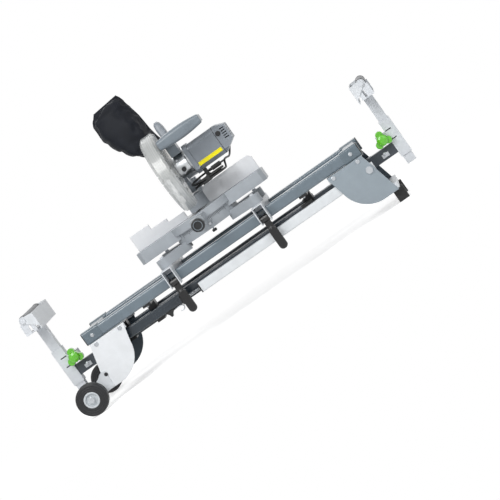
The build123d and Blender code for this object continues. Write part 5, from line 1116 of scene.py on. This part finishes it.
@dataclass
class MotorDress:
    """What stands on the boxy motor: a bare yellow strip, brush caps, screws and a dark seam."""

    palette: Palette
    body: str = "head"
    half: float = 0.049
    chamfer: float = 0.014
    strip_from: float = 0.018
    strip_to: float = 0.110
    strip_low: float = 0.0365
    strip_lift: float = 0.0015
    strip_height: float = 0.0135
    strip_thick: float = 0.0006
    strip_sunk: float = 0.0004
    strip_corner: float = 0.0025
    strip_points: int = 24
    brush_rise: float = 0.019
    brush_past: float = 0.0115
    brush_sunk: float = 0.002
    screw_y: float = 0.0425
    cap_screw_z: tuple[float, float] = (-0.013, 0.028)
    cap_screw_sunk: float = 0.0025
    flange_screw_z: tuple[float, float] = (-0.036, 0.036)
    flange_screw_spread: float = 1.18
    flange_face: float = 0.0145
    gear_screw_z: tuple[float, float] = (-0.024, 0.024)
    gear_screw_in: tuple[float, float] = (0.026, 0.0085)
    seam_lift: float = 0.0005
    seam_half: float = 0.0008
    axis: Vector = field(init=False)
    start: float = field(init=False)
    end: float = field(init=False)

    def build(self) -> None:
        """Makes the strip, the brush caps, the screws and the seam."""
        low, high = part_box("motor_housing")
        self.axis = (low + high) / 2
        self.start, self.end = low.x, high.x
        self.palette.add("motor_strip", self.strip, "strip", self.body, edge=0.0002)
        self.palette.add("motor_brush_caps", self.brush_caps, "black_plastic", self.body, edge=0.0008)
        self.palette.add("motor_screws", self.screws, "zinc", self.body, edge=0.0004)
        self.palette.add("motor_seam", self.seam, "black_plastic", self.body)

    def strip(self, bm: bmesh.types.BMesh) -> None:
        """Adds a flat vinyl strip with round corners, without print, low on the motor's front.

        Args:
            bm: the mesh being filled.
        """
        face = self.axis.y - self.half
        middle_x = self.start + (self.strip_from + self.strip_to) / 2
        middle_z = self.axis.z - self.strip_low + self.strip_height / 2 + self.strip_lift
        corner = self.strip_corner
        reach_x = (self.strip_to - self.strip_from) / 2 - corner
        reach_z = self.strip_height / 2 - corner
        rings = []
        for y in (face + self.strip_sunk, face - self.strip_thick):
            ring = []
            for k in range(self.strip_points):
                angle = 2 * math.pi * (k + 0.5) / self.strip_points
                c, s = math.cos(angle), math.sin(angle)
                ring.append(Vector((middle_x + math.copysign(reach_x, c) + corner * c, y,
                                    middle_z + math.copysign(reach_z, s) + corner * s)))
            rings.append(ring)
        add_loft(bm, rings)

    def brush_caps(self, bm: bmesh.types.BMesh) -> None:
        """Adds the two round caps over the carbon brushes, beside the vents.

        Args:
            bm: the mesh being filled.
        """
        for way in (-1, 1):
            place = (self.end + self.brush_past, self.axis.y + way * (self.half - self.brush_sunk),
                     self.axis.z + self.brush_rise)
            add_hex(bm, place, (0, way, 0), across=0.018, height=0.006, sides=28)

    def screws(self, bm: bmesh.types.BMesh) -> None:
        """Adds the end cap's screws, the flange's screws and those on the gearbox.

        Args:
            bm: the mesh being filled.
        """
        cap_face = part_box("motor_end_cap")[1].x - self.cap_screw_sunk
        flange_face = self.start + self.flange_face
        for y in (-self.screw_y, self.screw_y):
            for z in self.cap_screw_z:
                place = (cap_face, self.axis.y + y, self.axis.z + z)
                add_hex(bm, place, (1, 0, 0), across=0.0072, height=0.0035, sides=16)
            for z in self.flange_screw_z:
                place = (flange_face, self.axis.y + y * self.flange_screw_spread, self.axis.z + z)
                add_hex(bm, place, (1, 0, 0), across=0.0068, height=0.004)
        gear_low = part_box("gearbox")[0]
        in_x, in_y = self.gear_screw_in
        for z in self.gear_screw_z:
            place = (gear_low.x + in_x, gear_low.y + in_y, self.axis.z + z)
            add_hex(bm, place, (0, -1, 0), across=0.007, height=0.004)

    def seam(self, bm: bmesh.types.BMesh) -> None:
        """Adds the dark joint line between the case and its end cap.

        Args:
            bm: the mesh being filled.
        """
        half = self.half + self.seam_lift
        flat = self.half - self.chamfer
        outline = ((-flat, -half), (flat, -half), (half, -flat), (half, flat),
                   (flat, half), (-flat, half), (-half, flat), (-half, -flat))
        add_loft(bm, [[Vector((self.end + x, self.axis.y + y, self.axis.z + z)) for y, z in outline]
                      for x in (-self.seam_half, self.seam_half)])


@dataclass
class SawDress:
    """Small parts on the saw: the mitre scale, screws and nuts, the chute's shoulder and the base's stop."""

    palette: Palette
    tick_every_deg: float = 2.5
    scale_sweep_deg: float = 45.0
    scale_radius: float = 0.118
    scale_centre_y: float = 0.010
    scale_rise: float = 0.0135
    long_every: int = 6
    long_tick: float = 0.014
    short_tick: float = 0.008
    tick_half: float = 0.0006
    tick_lift: float = 0.0002
    kerf_screw_in: tuple[float, float] = (0.010, 0.014)
    kerf_screw_sunk: float = 0.0006
    chop_pin: tuple[float, float] = (0.180, 0.430)
    nut_sunk: float = 0.001
    fence_screw_in: tuple[float, float] = (0.045, 0.110)
    fence_screw_back: float = 0.010
    flange_past: float = 0.0042
    nose_in: float = 0.0010
    # Each row is a height, the middle and half width along X, and the middle and half width along Y.
    chute_rows: tuple[tuple[float, ...], ...] = (
        (0.535, 0.042, 0.010, 0.020, 0.015),
        (0.585, 0.042, 0.012, 0.034, 0.016),
        (0.618, 0.040, 0.014, 0.057, 0.021),
        (0.650, 0.038, 0.014, 0.066, 0.024),
        (0.668, 0.037, 0.011, 0.067, 0.021),
        (0.676, 0.037, 0.005, 0.067, 0.013),
    )
    knob_highlight_ring_sunk: float = 0.0006
    stop_place: Point = (0.012, -0.103, 0.306)
    stop_threads: int = 9
    stop_thread_from: float = 0.009
    stop_thread_pitch: float = 0.002
    # Each step of the stop's knob is a drop below the base and a radius.
    stop_knob_profile: tuple[tuple[float, float], ...] = (
        (0.0255, 0.0045), (0.0265, 0.0078), (0.0340, 0.0078), (0.0350, 0.0060))
    stop_knob_points: int = 36
    flute: float = 0.07

    def build(self) -> None:
        """Makes the scale, the screws, the nuts, the chute's shoulder, the rings and the stop."""
        add = self.palette.add
        add("mitre_scale", self.scale, "ink", "carriage")
        add("kerf_screws", self.kerf_screws, "zinc", "table", edge=0.0003)
        add("pivot_nuts", self.pivot_nuts, "zinc", "bevel", edge=0.0006)
        add("fence_screws", self.fence_screws, "zinc", "carriage", edge=0.0005)
        add("arbor_rings", self.arbor_rings, "zinc", "saw_blade", smooth=True)
        add("dust_chute_shoulder", self.chute, "motor_plastic", "head", smooth=True)
        # The knob's ring is slate grey on a black knob: a painted highlight.
        add("mitre_knob_highlight_ring", self.knob_highlight_ring, "handle_plastic", "mitre_lock", smooth=True)
        add("base_stop_rod", self.stop_rod, "zinc", "carriage", edge=0.0004)
        add("base_stop_knob", self.stop_knob, "black_plastic", "carriage", edge=0.0008)

    def scale(self, bm: bmesh.types.BMesh) -> None:
        """Adds the angle ticks on the front of the base, under the turntable's edge.

        Args:
            bm: the mesh being filled.
        """
        low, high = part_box("kerf_plate")
        centre = Vector(((low.x + high.x) / 2, self.scale_centre_y, 0))
        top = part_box("turntable")[0].z + self.scale_rise
        half = self.tick_half
        count = int(2 * self.scale_sweep_deg / self.tick_every_deg) + 1
        for k in range(count):
            angle = math.radians(-self.scale_sweep_deg + k * self.tick_every_deg)
            height = self.short_tick if k % self.long_every else self.long_tick
            out = Vector((math.sin(angle), -math.cos(angle), 0))
            along = Vector((math.cos(angle), math.sin(angle), 0))
            base = centre + out * (self.scale_radius + self.tick_lift)
            corners = ((-half, 0), (half, 0), (half, -height), (-half, -height))
            bm.faces.new([bm.verts.new(base + along * a + Vector((0, 0, top + b))) for a, b in corners])

    def kerf_screws(self, bm: bmesh.types.BMesh) -> None:
        """Adds the flat screws that hold the kerf plate.

        Args:
            bm: the mesh being filled.
        """
        low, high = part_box("kerf_plate")
        in_x, in_y = self.kerf_screw_in
        for x in (low.x + in_x, high.x - in_x):
            for y in (low.y + in_y, (low.y + high.y) / 2, high.y - in_y):
                place = (x, y, high.z - self.kerf_screw_sunk)
                add_hex(bm, place, (0, 0, 1), across=0.0062, height=0.0010, sides=16)

    def pivot_nuts(self, bm: bmesh.types.BMesh) -> None:
        """Adds the nuts on both ends of the chop pin.

        Args:
            bm: the mesh being filled.
        """
        low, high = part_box("bevel_arm")
        for x, way in ((low.x, -1), (high.x, 1)):
            add_hex(bm, (x - way * self.nut_sunk, *self.chop_pin), (way, 0, 0), across=0.017, height=0.007)

    def fence_screws(self, bm: bmesh.types.BMesh) -> None:
        """Adds the hex screws through the fence feet.

        Args:
            bm: the mesh being filled.
        """
        low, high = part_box("fences")
        outer, inner = self.fence_screw_in
        for x in (low.x + outer, low.x + inner, high.x - outer, high.x - inner):
            place = (x, high.y - self.fence_screw_back, low.z)
            add_hex(bm, place, (0, 0, 1), across=0.011, height=0.006)

    def arbor_rings(self, bm: bmesh.types.BMesh) -> None:
        """Adds the turned rings on the outer blade flange and on the spindle's nose.

        Args:
            bm: the mesh being filled.
        """
        low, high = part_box("blade")
        spin_low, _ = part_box("spindle")
        centre = ((low.y + high.y) / 2, (low.z + high.z) / 2)
        add_ring(bm, (low.x - self.flange_past, *centre), (1, 0, 0), radius=0.016, thick=0.0012, around=40)
        add_ring(bm, (spin_low.x + self.nose_in, *centre), (1, 0, 0), radius=0.0065, thick=0.0012, around=24)

    def chute(self, bm: bmesh.types.BMesh) -> None:
        """Adds the rounded shoulder of the dust chute, which rises from the gearbox behind the grip.

        Args:
            bm: the mesh being filled.
        """
        rings = []
        for z, x, half_x, y, half_y in self.chute_rows:
            ring = []
            for angle in angles(32):
                across, along = math.cos(angle), math.sin(angle)
                ring.append(Vector((x + half_x * math.copysign(math.sqrt(abs(across)), across),
                                    y + half_y * math.copysign(math.sqrt(abs(along)), along), z)))
            rings.append(ring)
        add_loft(bm, rings)

    def knob_highlight_ring(self, bm: bmesh.types.BMesh) -> None:
        """Adds the rounded ring between the mitre knob's rim and its dish, in slate grey as a painted
        highlight on the black knob.

        Args:
            bm: the mesh being filled.
        """
        low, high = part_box("mitre_knob")
        middle = ((low.x + high.x) / 2, low.y + self.knob_highlight_ring_sunk, (low.z + high.z) / 2)
        add_ring(bm, middle, (0, -1, 0), radius=0.0148, thick=0.0013, around=48)

    def stop_rod(self, bm: bmesh.types.BMesh) -> None:
        """Adds the threaded rod and the lug of the stop under the front of the base.

        Args:
            bm: the mesh being filled.
        """
        x, y, top = self.stop_place
        add_hex(bm, (x, y, top), (0, 0, -1), across=0.018, height=0.010)
        for k in range(self.stop_threads):
            place = (x, y, top - self.stop_thread_from - self.stop_thread_pitch * k)
            add_ring(bm, place, (0, 0, 1), radius=0.0024, thick=0.0010, around=20, across=6)

    def stop_knob(self, bm: bmesh.types.BMesh) -> None:
        """Adds the small fluted knob on that rod.

        Args:
            bm: the mesh being filled.
        """
        x, y, top = self.stop_place
        rings = []
        for drop, radius in self.stop_knob_profile:
            ring = []
            for k, angle in enumerate(angles(self.stop_knob_points)):
                reach = radius * (1 + (0.0 if k % 3 else self.flute))
                ring.append(Vector((x + reach * math.cos(angle), y + reach * math.sin(angle), top - drop)))
            rings.append(ring)
        add_loft(bm, rings)


@dataclass
class StandDress:
    """Small parts on the stand: threads, the wheels' tread and bands, bolts, plugs, clips and a leg catch."""

    palette: Palette
    thread_pitch: float = 0.0025
    thread_from: float = 0.0285
    thread_to: float = 0.0735
    tread_blocks: int = 36
    tread_block: Point = (0.0040, 0.0016, 0.0085)
    tread_out: float = 0.97
    tread_up: float = 0.80
    tyre_bands: tuple[float, ...] = (0.0325, 0.0405, 0.0475)
    hub_bands: tuple[float, ...] = (0.0242,)
    band_thick: float = 0.0026
    band_sunk: float = 0.0017
    plug_x: float = -0.5565
    plug_z: float = 0.0925
    # Each row of the catch is a drop below the leg and where it begins and ends along X.
    catch_rows: tuple[Point, ...] = (
        (-0.0005, -0.284, -0.254), (0.006, -0.281, -0.254), (0.013, -0.276, -0.262), (0.022, -0.273, -0.267))
    catch_half: float = 0.008
    hook_from: float = -0.256
    hook_to: float = -0.240
    hook_drop: float = 0.006
    hook_middle: tuple[float, float] = (-0.230, 0.015)
    hook_reach: tuple[float, float] = (0.011, 0.009)
    hook_step_deg: float = 15.0
    hook_steps: int = 15
    wire_radius: float = 0.0019
    bar_bolt_x: float = 0.607
    lock_plate: Point = (0.026, 0.002, 0.014)
    lock_plate_out: float = 0.0008
    lock_plate_drop: float = 0.004
    bar_bolt_out: float = 0.0012
    clip: Point = (0.022, 0.0012, 0.0035)
    clip_z: tuple[float, float] = (0.178, 0.212)
    clip_aside: float = 0.006
    clip_out: float = 0.0002
    sleeve_wall: float = 0.0034
    sleeve_bolt_in: float = 0.031
    sleeve_bolt_z: float = 0.225
    rail_bolt_in: float = 0.235
    rail_bolt_y: float = 0.115
    rail_bolt_drop: float = 0.0075
    collar_in: tuple[float, float] = (0.004, 0.012)
    dome_radius: float = 0.0195
    dome_height: float = 0.0085
    dome_sunk: float = 0.0045
    dome_drop: float = 0.032
    dome_steps: int = 8
    dome_sweep_deg: float = 84.0

    def build(self) -> None:
        """Makes the small parts of the wheels, the legs, the end frames and the two work supports."""
        add = self.palette.add
        for row in Row:
            word = row.value
            wheel = f"wheel_{word}"
            add(f"levelling_thread_{word}", partial(self.thread, row), "zinc", f"leg_right_{word}_body",
                smooth=True)
            add(f"tread_blocks_{word}", partial(self.tread, row), "tyre", wheel)
            add(f"sidewall_rings_{word}", partial(self.wheel_rings, row, self.tyre_bands), "tyre", wheel,
                smooth=True)
            add(f"hub_rings_{word}", partial(self.wheel_rings, row, self.hub_bands), "hub_plastic", wheel,
                smooth=True)
        add("frame_bolts", self.frame_bolts, "zinc", "stand", edge=0.0006)
        add("bracket_plugs", self.bracket_plugs, "black_plastic", "stand", edge=0.0005)
        add("leg_catch", self.leg_catch, "black_plastic", "leg_left_front_body", edge=0.0012)
        add("leg_catch_hook", self.leg_catch_hook, "zinc", "leg_left_front_body", smooth=True)
        for side in Side:
            word = side.name.lower()
            bar = f"extension_{word}"
            add(f"roller_rings_{word}", partial(self.roller_rings, side), "black_plastic",
                f"support_roller_{word}", smooth=True)
            add(f"bar_bolt_{word}", partial(self.bar_bolt, side), "zinc", bar, edge=0.0006)
            add(f"sleeve_clips_{word}", partial(self.sleeve_clips, side), "rubber", bar, edge=0.0003)
            add(f"knob_dome_{word}", partial(self.knob_dome, side), "lime", f"clamp_knob_{word}", smooth=True)

    def thread(self, row: Row, bm: bmesh.types.BMesh) -> None:
        """Adds the rings of thread on a levelling foot's stud.

        Args:
            row: the front or the rear.
            bm: the mesh being filled.
        """
        low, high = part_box(f"foot_right_{row.value}")
        y = (low.y + high.y) / 2
        z = (low.z + high.z) / 2
        x = low.x + self.thread_from
        while x < low.x + self.thread_to:
            add_ring(bm, (x, y, z), (1, 0, 0), radius=0.005, thick=0.0008, around=24, across=6)
            x += self.thread_pitch

    def tread(self, row: Row, bm: bmesh.types.BMesh) -> None:
        """Adds the low blocks across a tyre's shoulders.

        Args:
            row: the front or the rear.
            bm: the mesh being filled.
        """
        low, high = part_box(f"tyre_{row.value}")
        centre = (low + high) / 2
        radius = (high.x - low.x) / 2
        half = (high.y - low.y) / 2
        block = Matrix.Diagonal((*self.tread_block, 1))
        for k in range(self.tread_blocks):
            for sign in (-1, 1):
                angle = 2 * math.pi * (k + 0.25 * sign) / self.tread_blocks
                turn = Matrix.Translation(centre) @ Matrix.Rotation(angle, 4, "Y")
                put = turn @ Matrix.Translation((0, sign * half * self.tread_out, radius * self.tread_up))
                bmesh.ops.create_cube(bm, size=1.0, matrix=put @ block)

    def wheel_rings(self, row: Row, radii: Sequence[float], bm: bmesh.types.BMesh) -> None:
        """Adds the low rounded bands on both faces of a wheel.

        Args:
            row: the front or the rear.
            radii: the bands' radii.
            bm: the mesh being filled.
        """
        low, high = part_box(f"tyre_{row.value}")
        centre = (low + high) / 2
        for y in (low.y + self.band_sunk, high.y - self.band_sunk):
            middle = (centre.x, y, centre.z)
            for radius in radii:
                add_ring(bm, middle, (0, 1, 0), radius, self.band_thick, around=64, across=12)

    def bracket_plugs(self, bm: bmesh.types.BMesh) -> None:
        """Adds the black plugs at the top of the wheel brackets.

        Args:
            bm: the mesh being filled.
        """
        low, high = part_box("end_brackets")
        for y, way in ((low.y, -1), (high.y, 1)):
            place = (self.plug_x, y, self.plug_z)
            add_hex(bm, place, (0, way, 0), across=0.011, height=0.003, sides=20)

    def leg_catch(self, bm: bmesh.types.BMesh) -> None:
        """Adds the black grip of the catch under the left front leg.

        Args:
            bm: the mesh being filled.
        """
        low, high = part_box("leg_left_front")
        y = (low.y + high.y) / 2
        half = self.catch_half
        rings = []
        for drop, back, front in self.catch_rows:
            corners = ((back, -half), (front, -half), (front, half), (back, half))
            rings.append([Vector((x, y + way, low.z - drop)) for x, way in corners])
        add_loft(bm, rings)

    def leg_catch_hook(self, bm: bmesh.types.BMesh) -> None:
        """Adds the wire hook that stands out of that grip.

        Args:
            bm: the mesh being filled.
        """
        low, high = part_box("leg_left_front")
        y = (low.y + high.y) / 2
        middle_x, middle_drop = self.hook_middle
        reach_x, reach_z = self.hook_reach
        bend = [Vector((x, 0, low.z - self.hook_drop)) for x in (self.hook_from, self.hook_to)]
        for k in range(self.hook_steps):
            angle = math.radians(self.hook_step_deg * k)
            bend.append(Vector((middle_x + reach_x * math.sin(angle), 0,
                                low.z - middle_drop + reach_z * math.cos(angle))))
        rings = []
        for before, here, after in zip([bend[0]] + bend[:-1], bend, bend[1:] + [bend[-1]]):
            ahead = (after - before).normalized()
            aside = Vector((-ahead.z, 0, ahead.x))
            middle = here + Vector((0, y, 0))
            rings.append([middle + self.wire_radius * (aside * math.cos(a) + Vector((0, math.sin(a), 0)))
                          for a in angles(12)])
        add_loft(bm, rings)

    def bar_bolt(self, side: Side, bm: bmesh.types.BMesh) -> None:
        """Adds the bolt and its lock plate on the front of an extension bar, beside the post.

        Args:
            side: the bar's end of the stand.
            bm: the mesh being filled.
        """
        low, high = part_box(f"ext_bar_{side.name.lower()}")
        x = side.value * self.bar_bolt_x
        z = (low.z + high.z) / 2
        put = Matrix.Translation((x, low.y - self.lock_plate_out, z - self.lock_plate_drop))
        bmesh.ops.create_cube(bm, size=1.0, matrix=put @ Matrix.Diagonal((*self.lock_plate, 1)))
        add_hex(bm, (x, low.y - self.bar_bolt_out, z), (0, -1, 0), across=0.012, height=0.007)

    def sleeve_clips(self, side: Side, bm: bmesh.types.BMesh) -> None:
        """Adds the two dark clips across the front of a post's sleeve.

        Args:
            side: the post's end of the stand.
            bm: the mesh being filled.
        """
        low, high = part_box(f"post_{side.name.lower()}")
        middle = (low + high) / 2
        front = middle.y - (high.y - low.y) / 2 - self.sleeve_wall
        for z in self.clip_z:
            put = Matrix.Translation((middle.x - side.value * self.clip_aside, front - self.clip_out, z))
            bmesh.ops.create_cube(bm, size=1.0, matrix=put @ Matrix.Diagonal((*self.clip, 1)))

    def frame_bolts(self, bm: bmesh.types.BMesh) -> None:
        """Adds bolt heads on the sleeves and under the rails.

        Args:
            bm: the mesh being filled.
        """
        low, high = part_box("end_frames")
        rail_low, rail_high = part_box("rails")
        for x in (low.x + self.sleeve_bolt_in, high.x - self.sleeve_bolt_in):
            for y, way in ((low.y, -1), (high.y, 1)):
                add_hex(bm, (x, y, self.sleeve_bolt_z), (0, way, 0), across=0.011, height=0.005)
        for x in (rail_low.x + self.rail_bolt_in, rail_high.x - self.rail_bolt_in):
            for y in (-self.rail_bolt_y, self.rail_bolt_y):
                place = (x, y, rail_low.z - self.rail_bolt_drop)
                add_hex(bm, place, (0, 0, -1), across=0.010, height=0.005)

    def roller_rings(self, side: Side, bm: bmesh.types.BMesh) -> None:
        """Adds the black end collars of a roller.

        Args:
            side: the roller's end of the stand.
            bm: the mesh being filled.
        """
        low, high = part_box(f"roller_{side.name.lower()}")
        centre = (low + high) / 2
        outer, inner = self.collar_in
        for y in (low.y + outer, low.y + inner, high.y - inner, high.y - outer):
            add_ring(bm, (centre.x, y, centre.z), (0, 1, 0), radius=0.0158, thick=0.0010, around=40)

    def knob_dome(self, side: Side, bm: bmesh.types.BMesh) -> None:
        """Adds the smooth dome over the middle of a clamp knob.

        Args:
            side: the knob's end of the stand.
            bm: the mesh being filled.
        """
        low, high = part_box(f"knob_{side.name.lower()}")
        x = (low.x + high.x) / 2
        z = high.z - self.dome_drop
        rings = []
        for k in range(self.dome_steps):
            lift = math.radians(self.dome_sweep_deg * k / (self.dome_steps - 1))
            reach = self.dome_radius * math.cos(lift)
            y = low.y + self.dome_sunk - self.dome_height * math.sin(lift)
            rings.append([Vector((x + reach * math.cos(a), y, z + reach * math.sin(a))) for a in angles(40)])
        add_loft(bm, rings)


@dataclass
class Studio:
    """White floor and world, soft lamps, and the camera at the photograph's view."""

    eye: Point = (0.805, -6.615, 0.629)
    aim: Point = (0.0694, -0.115, 0.155)
    roll_deg: float = 35.4
    lens_mm: float = 144.0
    sensor_mm: float = 36.0
    clip_far: float = 100.0
    floor_half: float = 30.0
    floor_drop: float = 0.0005
    floor_colour: str = "#f4f4f4"
    floor_glow: float = 0.55
    floor_fade: tuple[float, float] = (0.55, 1.25)
    world_colour: str = "#ffffff"
    world_light: float = 0.32
    lamp_aim: Point = (0.0, 0.0, 0.35)
    # Each lamp has a place in metres, a power in watts and the two sides of its panel.
    lamps: dict[str, tuple[Point, float, tuple[float, float]]] = field(default_factory=lambda: {
        "key": ((-1.2, -4.2, 2.9), 84.0, (2.0, 2.0)),
        "fill": ((2.6, -3.2, 1.4), 20.0, (2.4, 2.4)),
        "back": ((0.2, 2.6, 2.8), 34.0, (2.2, 2.2)),
        "strip": ((0.0, -2.2, 2.6), 34.0, (3.4, 0.22))})

    def build(self) -> None:
        """Makes the floor, the world, the lamps and the camera."""
        self.make_floor()
        self.make_world()
        self.make_lamps()
        self.make_camera()
        bpy.context.scene.view_settings.view_transform = "Standard"

    def white_where_seen(self, tree: bpy.types.NodeTree) -> bpy.types.NodeSocket:
        """A factor that is 1 for what the camera sees, straight, through glass or mirrored in a glossy face.

        Args:
            tree: the material's or the world's node tree.

        Returns:
            The factor.
        """
        path = node(tree, "ShaderNodeLightPath")
        seen = node(tree, "ShaderNodeMath", {"operation": "MAXIMUM"},
                    {0: path.outputs["Is Camera Ray"], 1: path.outputs["Is Transmission Ray"]})
        shown = node(tree, "ShaderNodeMath", {"operation": "MAXIMUM"},
                     {0: seen.outputs["Value"], 1: path.outputs["Is Glossy Ray"]})
        return shown.outputs["Value"]

    def floor_grid(self, bm: bmesh.types.BMesh) -> None:
        """Adds the floor's square."""
        bmesh.ops.create_grid(bm, x_segments=2, y_segments=2, size=self.floor_half)

    def make_floor(self) -> None:
        """Adds a level white floor that keeps the object's shadow."""
        floor = link_mesh("floor", self.floor_grid)
        floor.location.z = -self.floor_drop
        material = bpy.data.materials.new("floor_white")
        material.use_nodes = True
        tree = material.node_tree
        tree.nodes.clear()
        matt = node(tree, "ShaderNodeBsdfDiffuse", {"Color": srgb(self.floor_colour)})
        glow = node(tree, "ShaderNodeEmission", {"Strength": self.floor_glow})
        clear = node(tree, "ShaderNodeBsdfTransparent")
        lit = node(tree, "ShaderNodeAddShader", links={0: matt.outputs["BSDF"], 1: glow.outputs["Emission"]})
        place = node(tree, "ShaderNodeTexCoord").outputs["Object"]
        far = node(tree, "ShaderNodeVectorMath", {"operation": "LENGTH"}, {0: place})
        fade = node(tree, "ShaderNodeMapRange",
                    {"interpolation_type": "SMOOTHSTEP",
                     "From Min": self.floor_fade[0], "From Max": self.floor_fade[1]},
                    {"Value": far.outputs["Value"]})
        facing = node(tree, "ShaderNodeNewGeometry")
        # The floor is gone far from the object, and from below.
        gone = node(tree, "ShaderNodeMath", {"operation": "MAXIMUM"},
                    {0: fade.outputs["Result"], 1: facing.outputs["Backfacing"]})
        under = node(tree, "ShaderNodeMixShader",
                     links={0: gone.outputs["Value"], 1: lit.outputs["Shader"], 2: clear.outputs["BSDF"]})
        mixed = node(tree, "ShaderNodeMixShader",
                     links={0: self.white_where_seen(tree), 1: matt.outputs["BSDF"],
                            2: under.outputs["Shader"]})
        node(tree, "ShaderNodeOutputMaterial", links={"Surface": mixed.outputs["Shader"]})
        floor.data.materials.append(material)

    def make_world(self) -> None:
        """Gives a soft grey light and a white background."""
        world = bpy.data.worlds.new("studio")
        bpy.context.scene.world = world
        world.use_nodes = True
        tree = world.node_tree
        tree.nodes.clear()
        colour = srgb(self.world_colour)
        dim = node(tree, "ShaderNodeBackground", {"Color": colour, "Strength": self.world_light})
        white = node(tree, "ShaderNodeBackground", {"Color": colour, "Strength": 1.0})
        mixed = node(tree, "ShaderNodeMixShader",
                     links={0: self.white_where_seen(tree), 1: dim.outputs["Background"],
                            2: white.outputs["Background"]})
        node(tree, "ShaderNodeOutputWorld", links={"Surface": mixed.outputs["Shader"]})

    def make_lamps(self) -> None:
        """Adds a key lamp, a fill and a back light as soft panels, and a strip for lines along the rails."""
        for name, (place, power, size) in self.lamps.items():
            data = bpy.data.lights.new(name, "AREA")
            data.energy = power
            data.shape = "RECTANGLE"
            data.size, data.size_y = size
            lamp = bpy.data.objects.new(name, data)
            lamp.location = place
            aim = Vector(self.lamp_aim) - Vector(place)
            lamp.rotation_euler = aim.to_track_quat("-Z", "Y").to_euler()
            bpy.context.collection.objects.link(lamp)

    def make_camera(self) -> None:
        """Places the camera, rolled so that the stand leans as in the photograph."""
        data = bpy.data.cameras.new("camera")
        data.lens = self.lens_mm
        data.sensor_width = self.sensor_mm
        data.clip_end = self.clip_far
        camera = bpy.data.objects.new("camera", data)
        eye = Vector(self.eye)
        ahead = (Vector(self.aim) - eye).normalized()
        right = ahead.cross(Vector((0, 0, 1))).normalized()
        up = right.cross(ahead)
        roll = math.radians(self.roll_deg)
        rolled_right = right * math.cos(roll) - up * math.sin(roll)
        rolled_up = right * math.sin(roll) + up * math.cos(roll)
        turn = Matrix((rolled_right, rolled_up, -ahead)).transposed().to_4x4()
        camera.matrix_world = Matrix.Translation(eye) @ turn
        bpy.context.collection.objects.link(camera)
        bpy.context.scene.camera = camera


def main() -> None:
    """Dresses the frame, then builds each sub-assembly's pieces and the studio."""
    palette = Palette()
    palette.build()
    palette.dress_frame()
    DustBag(palette).build()
    MainsCord(palette).build()
    MotorDress(palette).build()
    SawDress(palette).build()
    StandDress(palette).build()
    Studio().build()


if __name__ == "__main__":
    main()
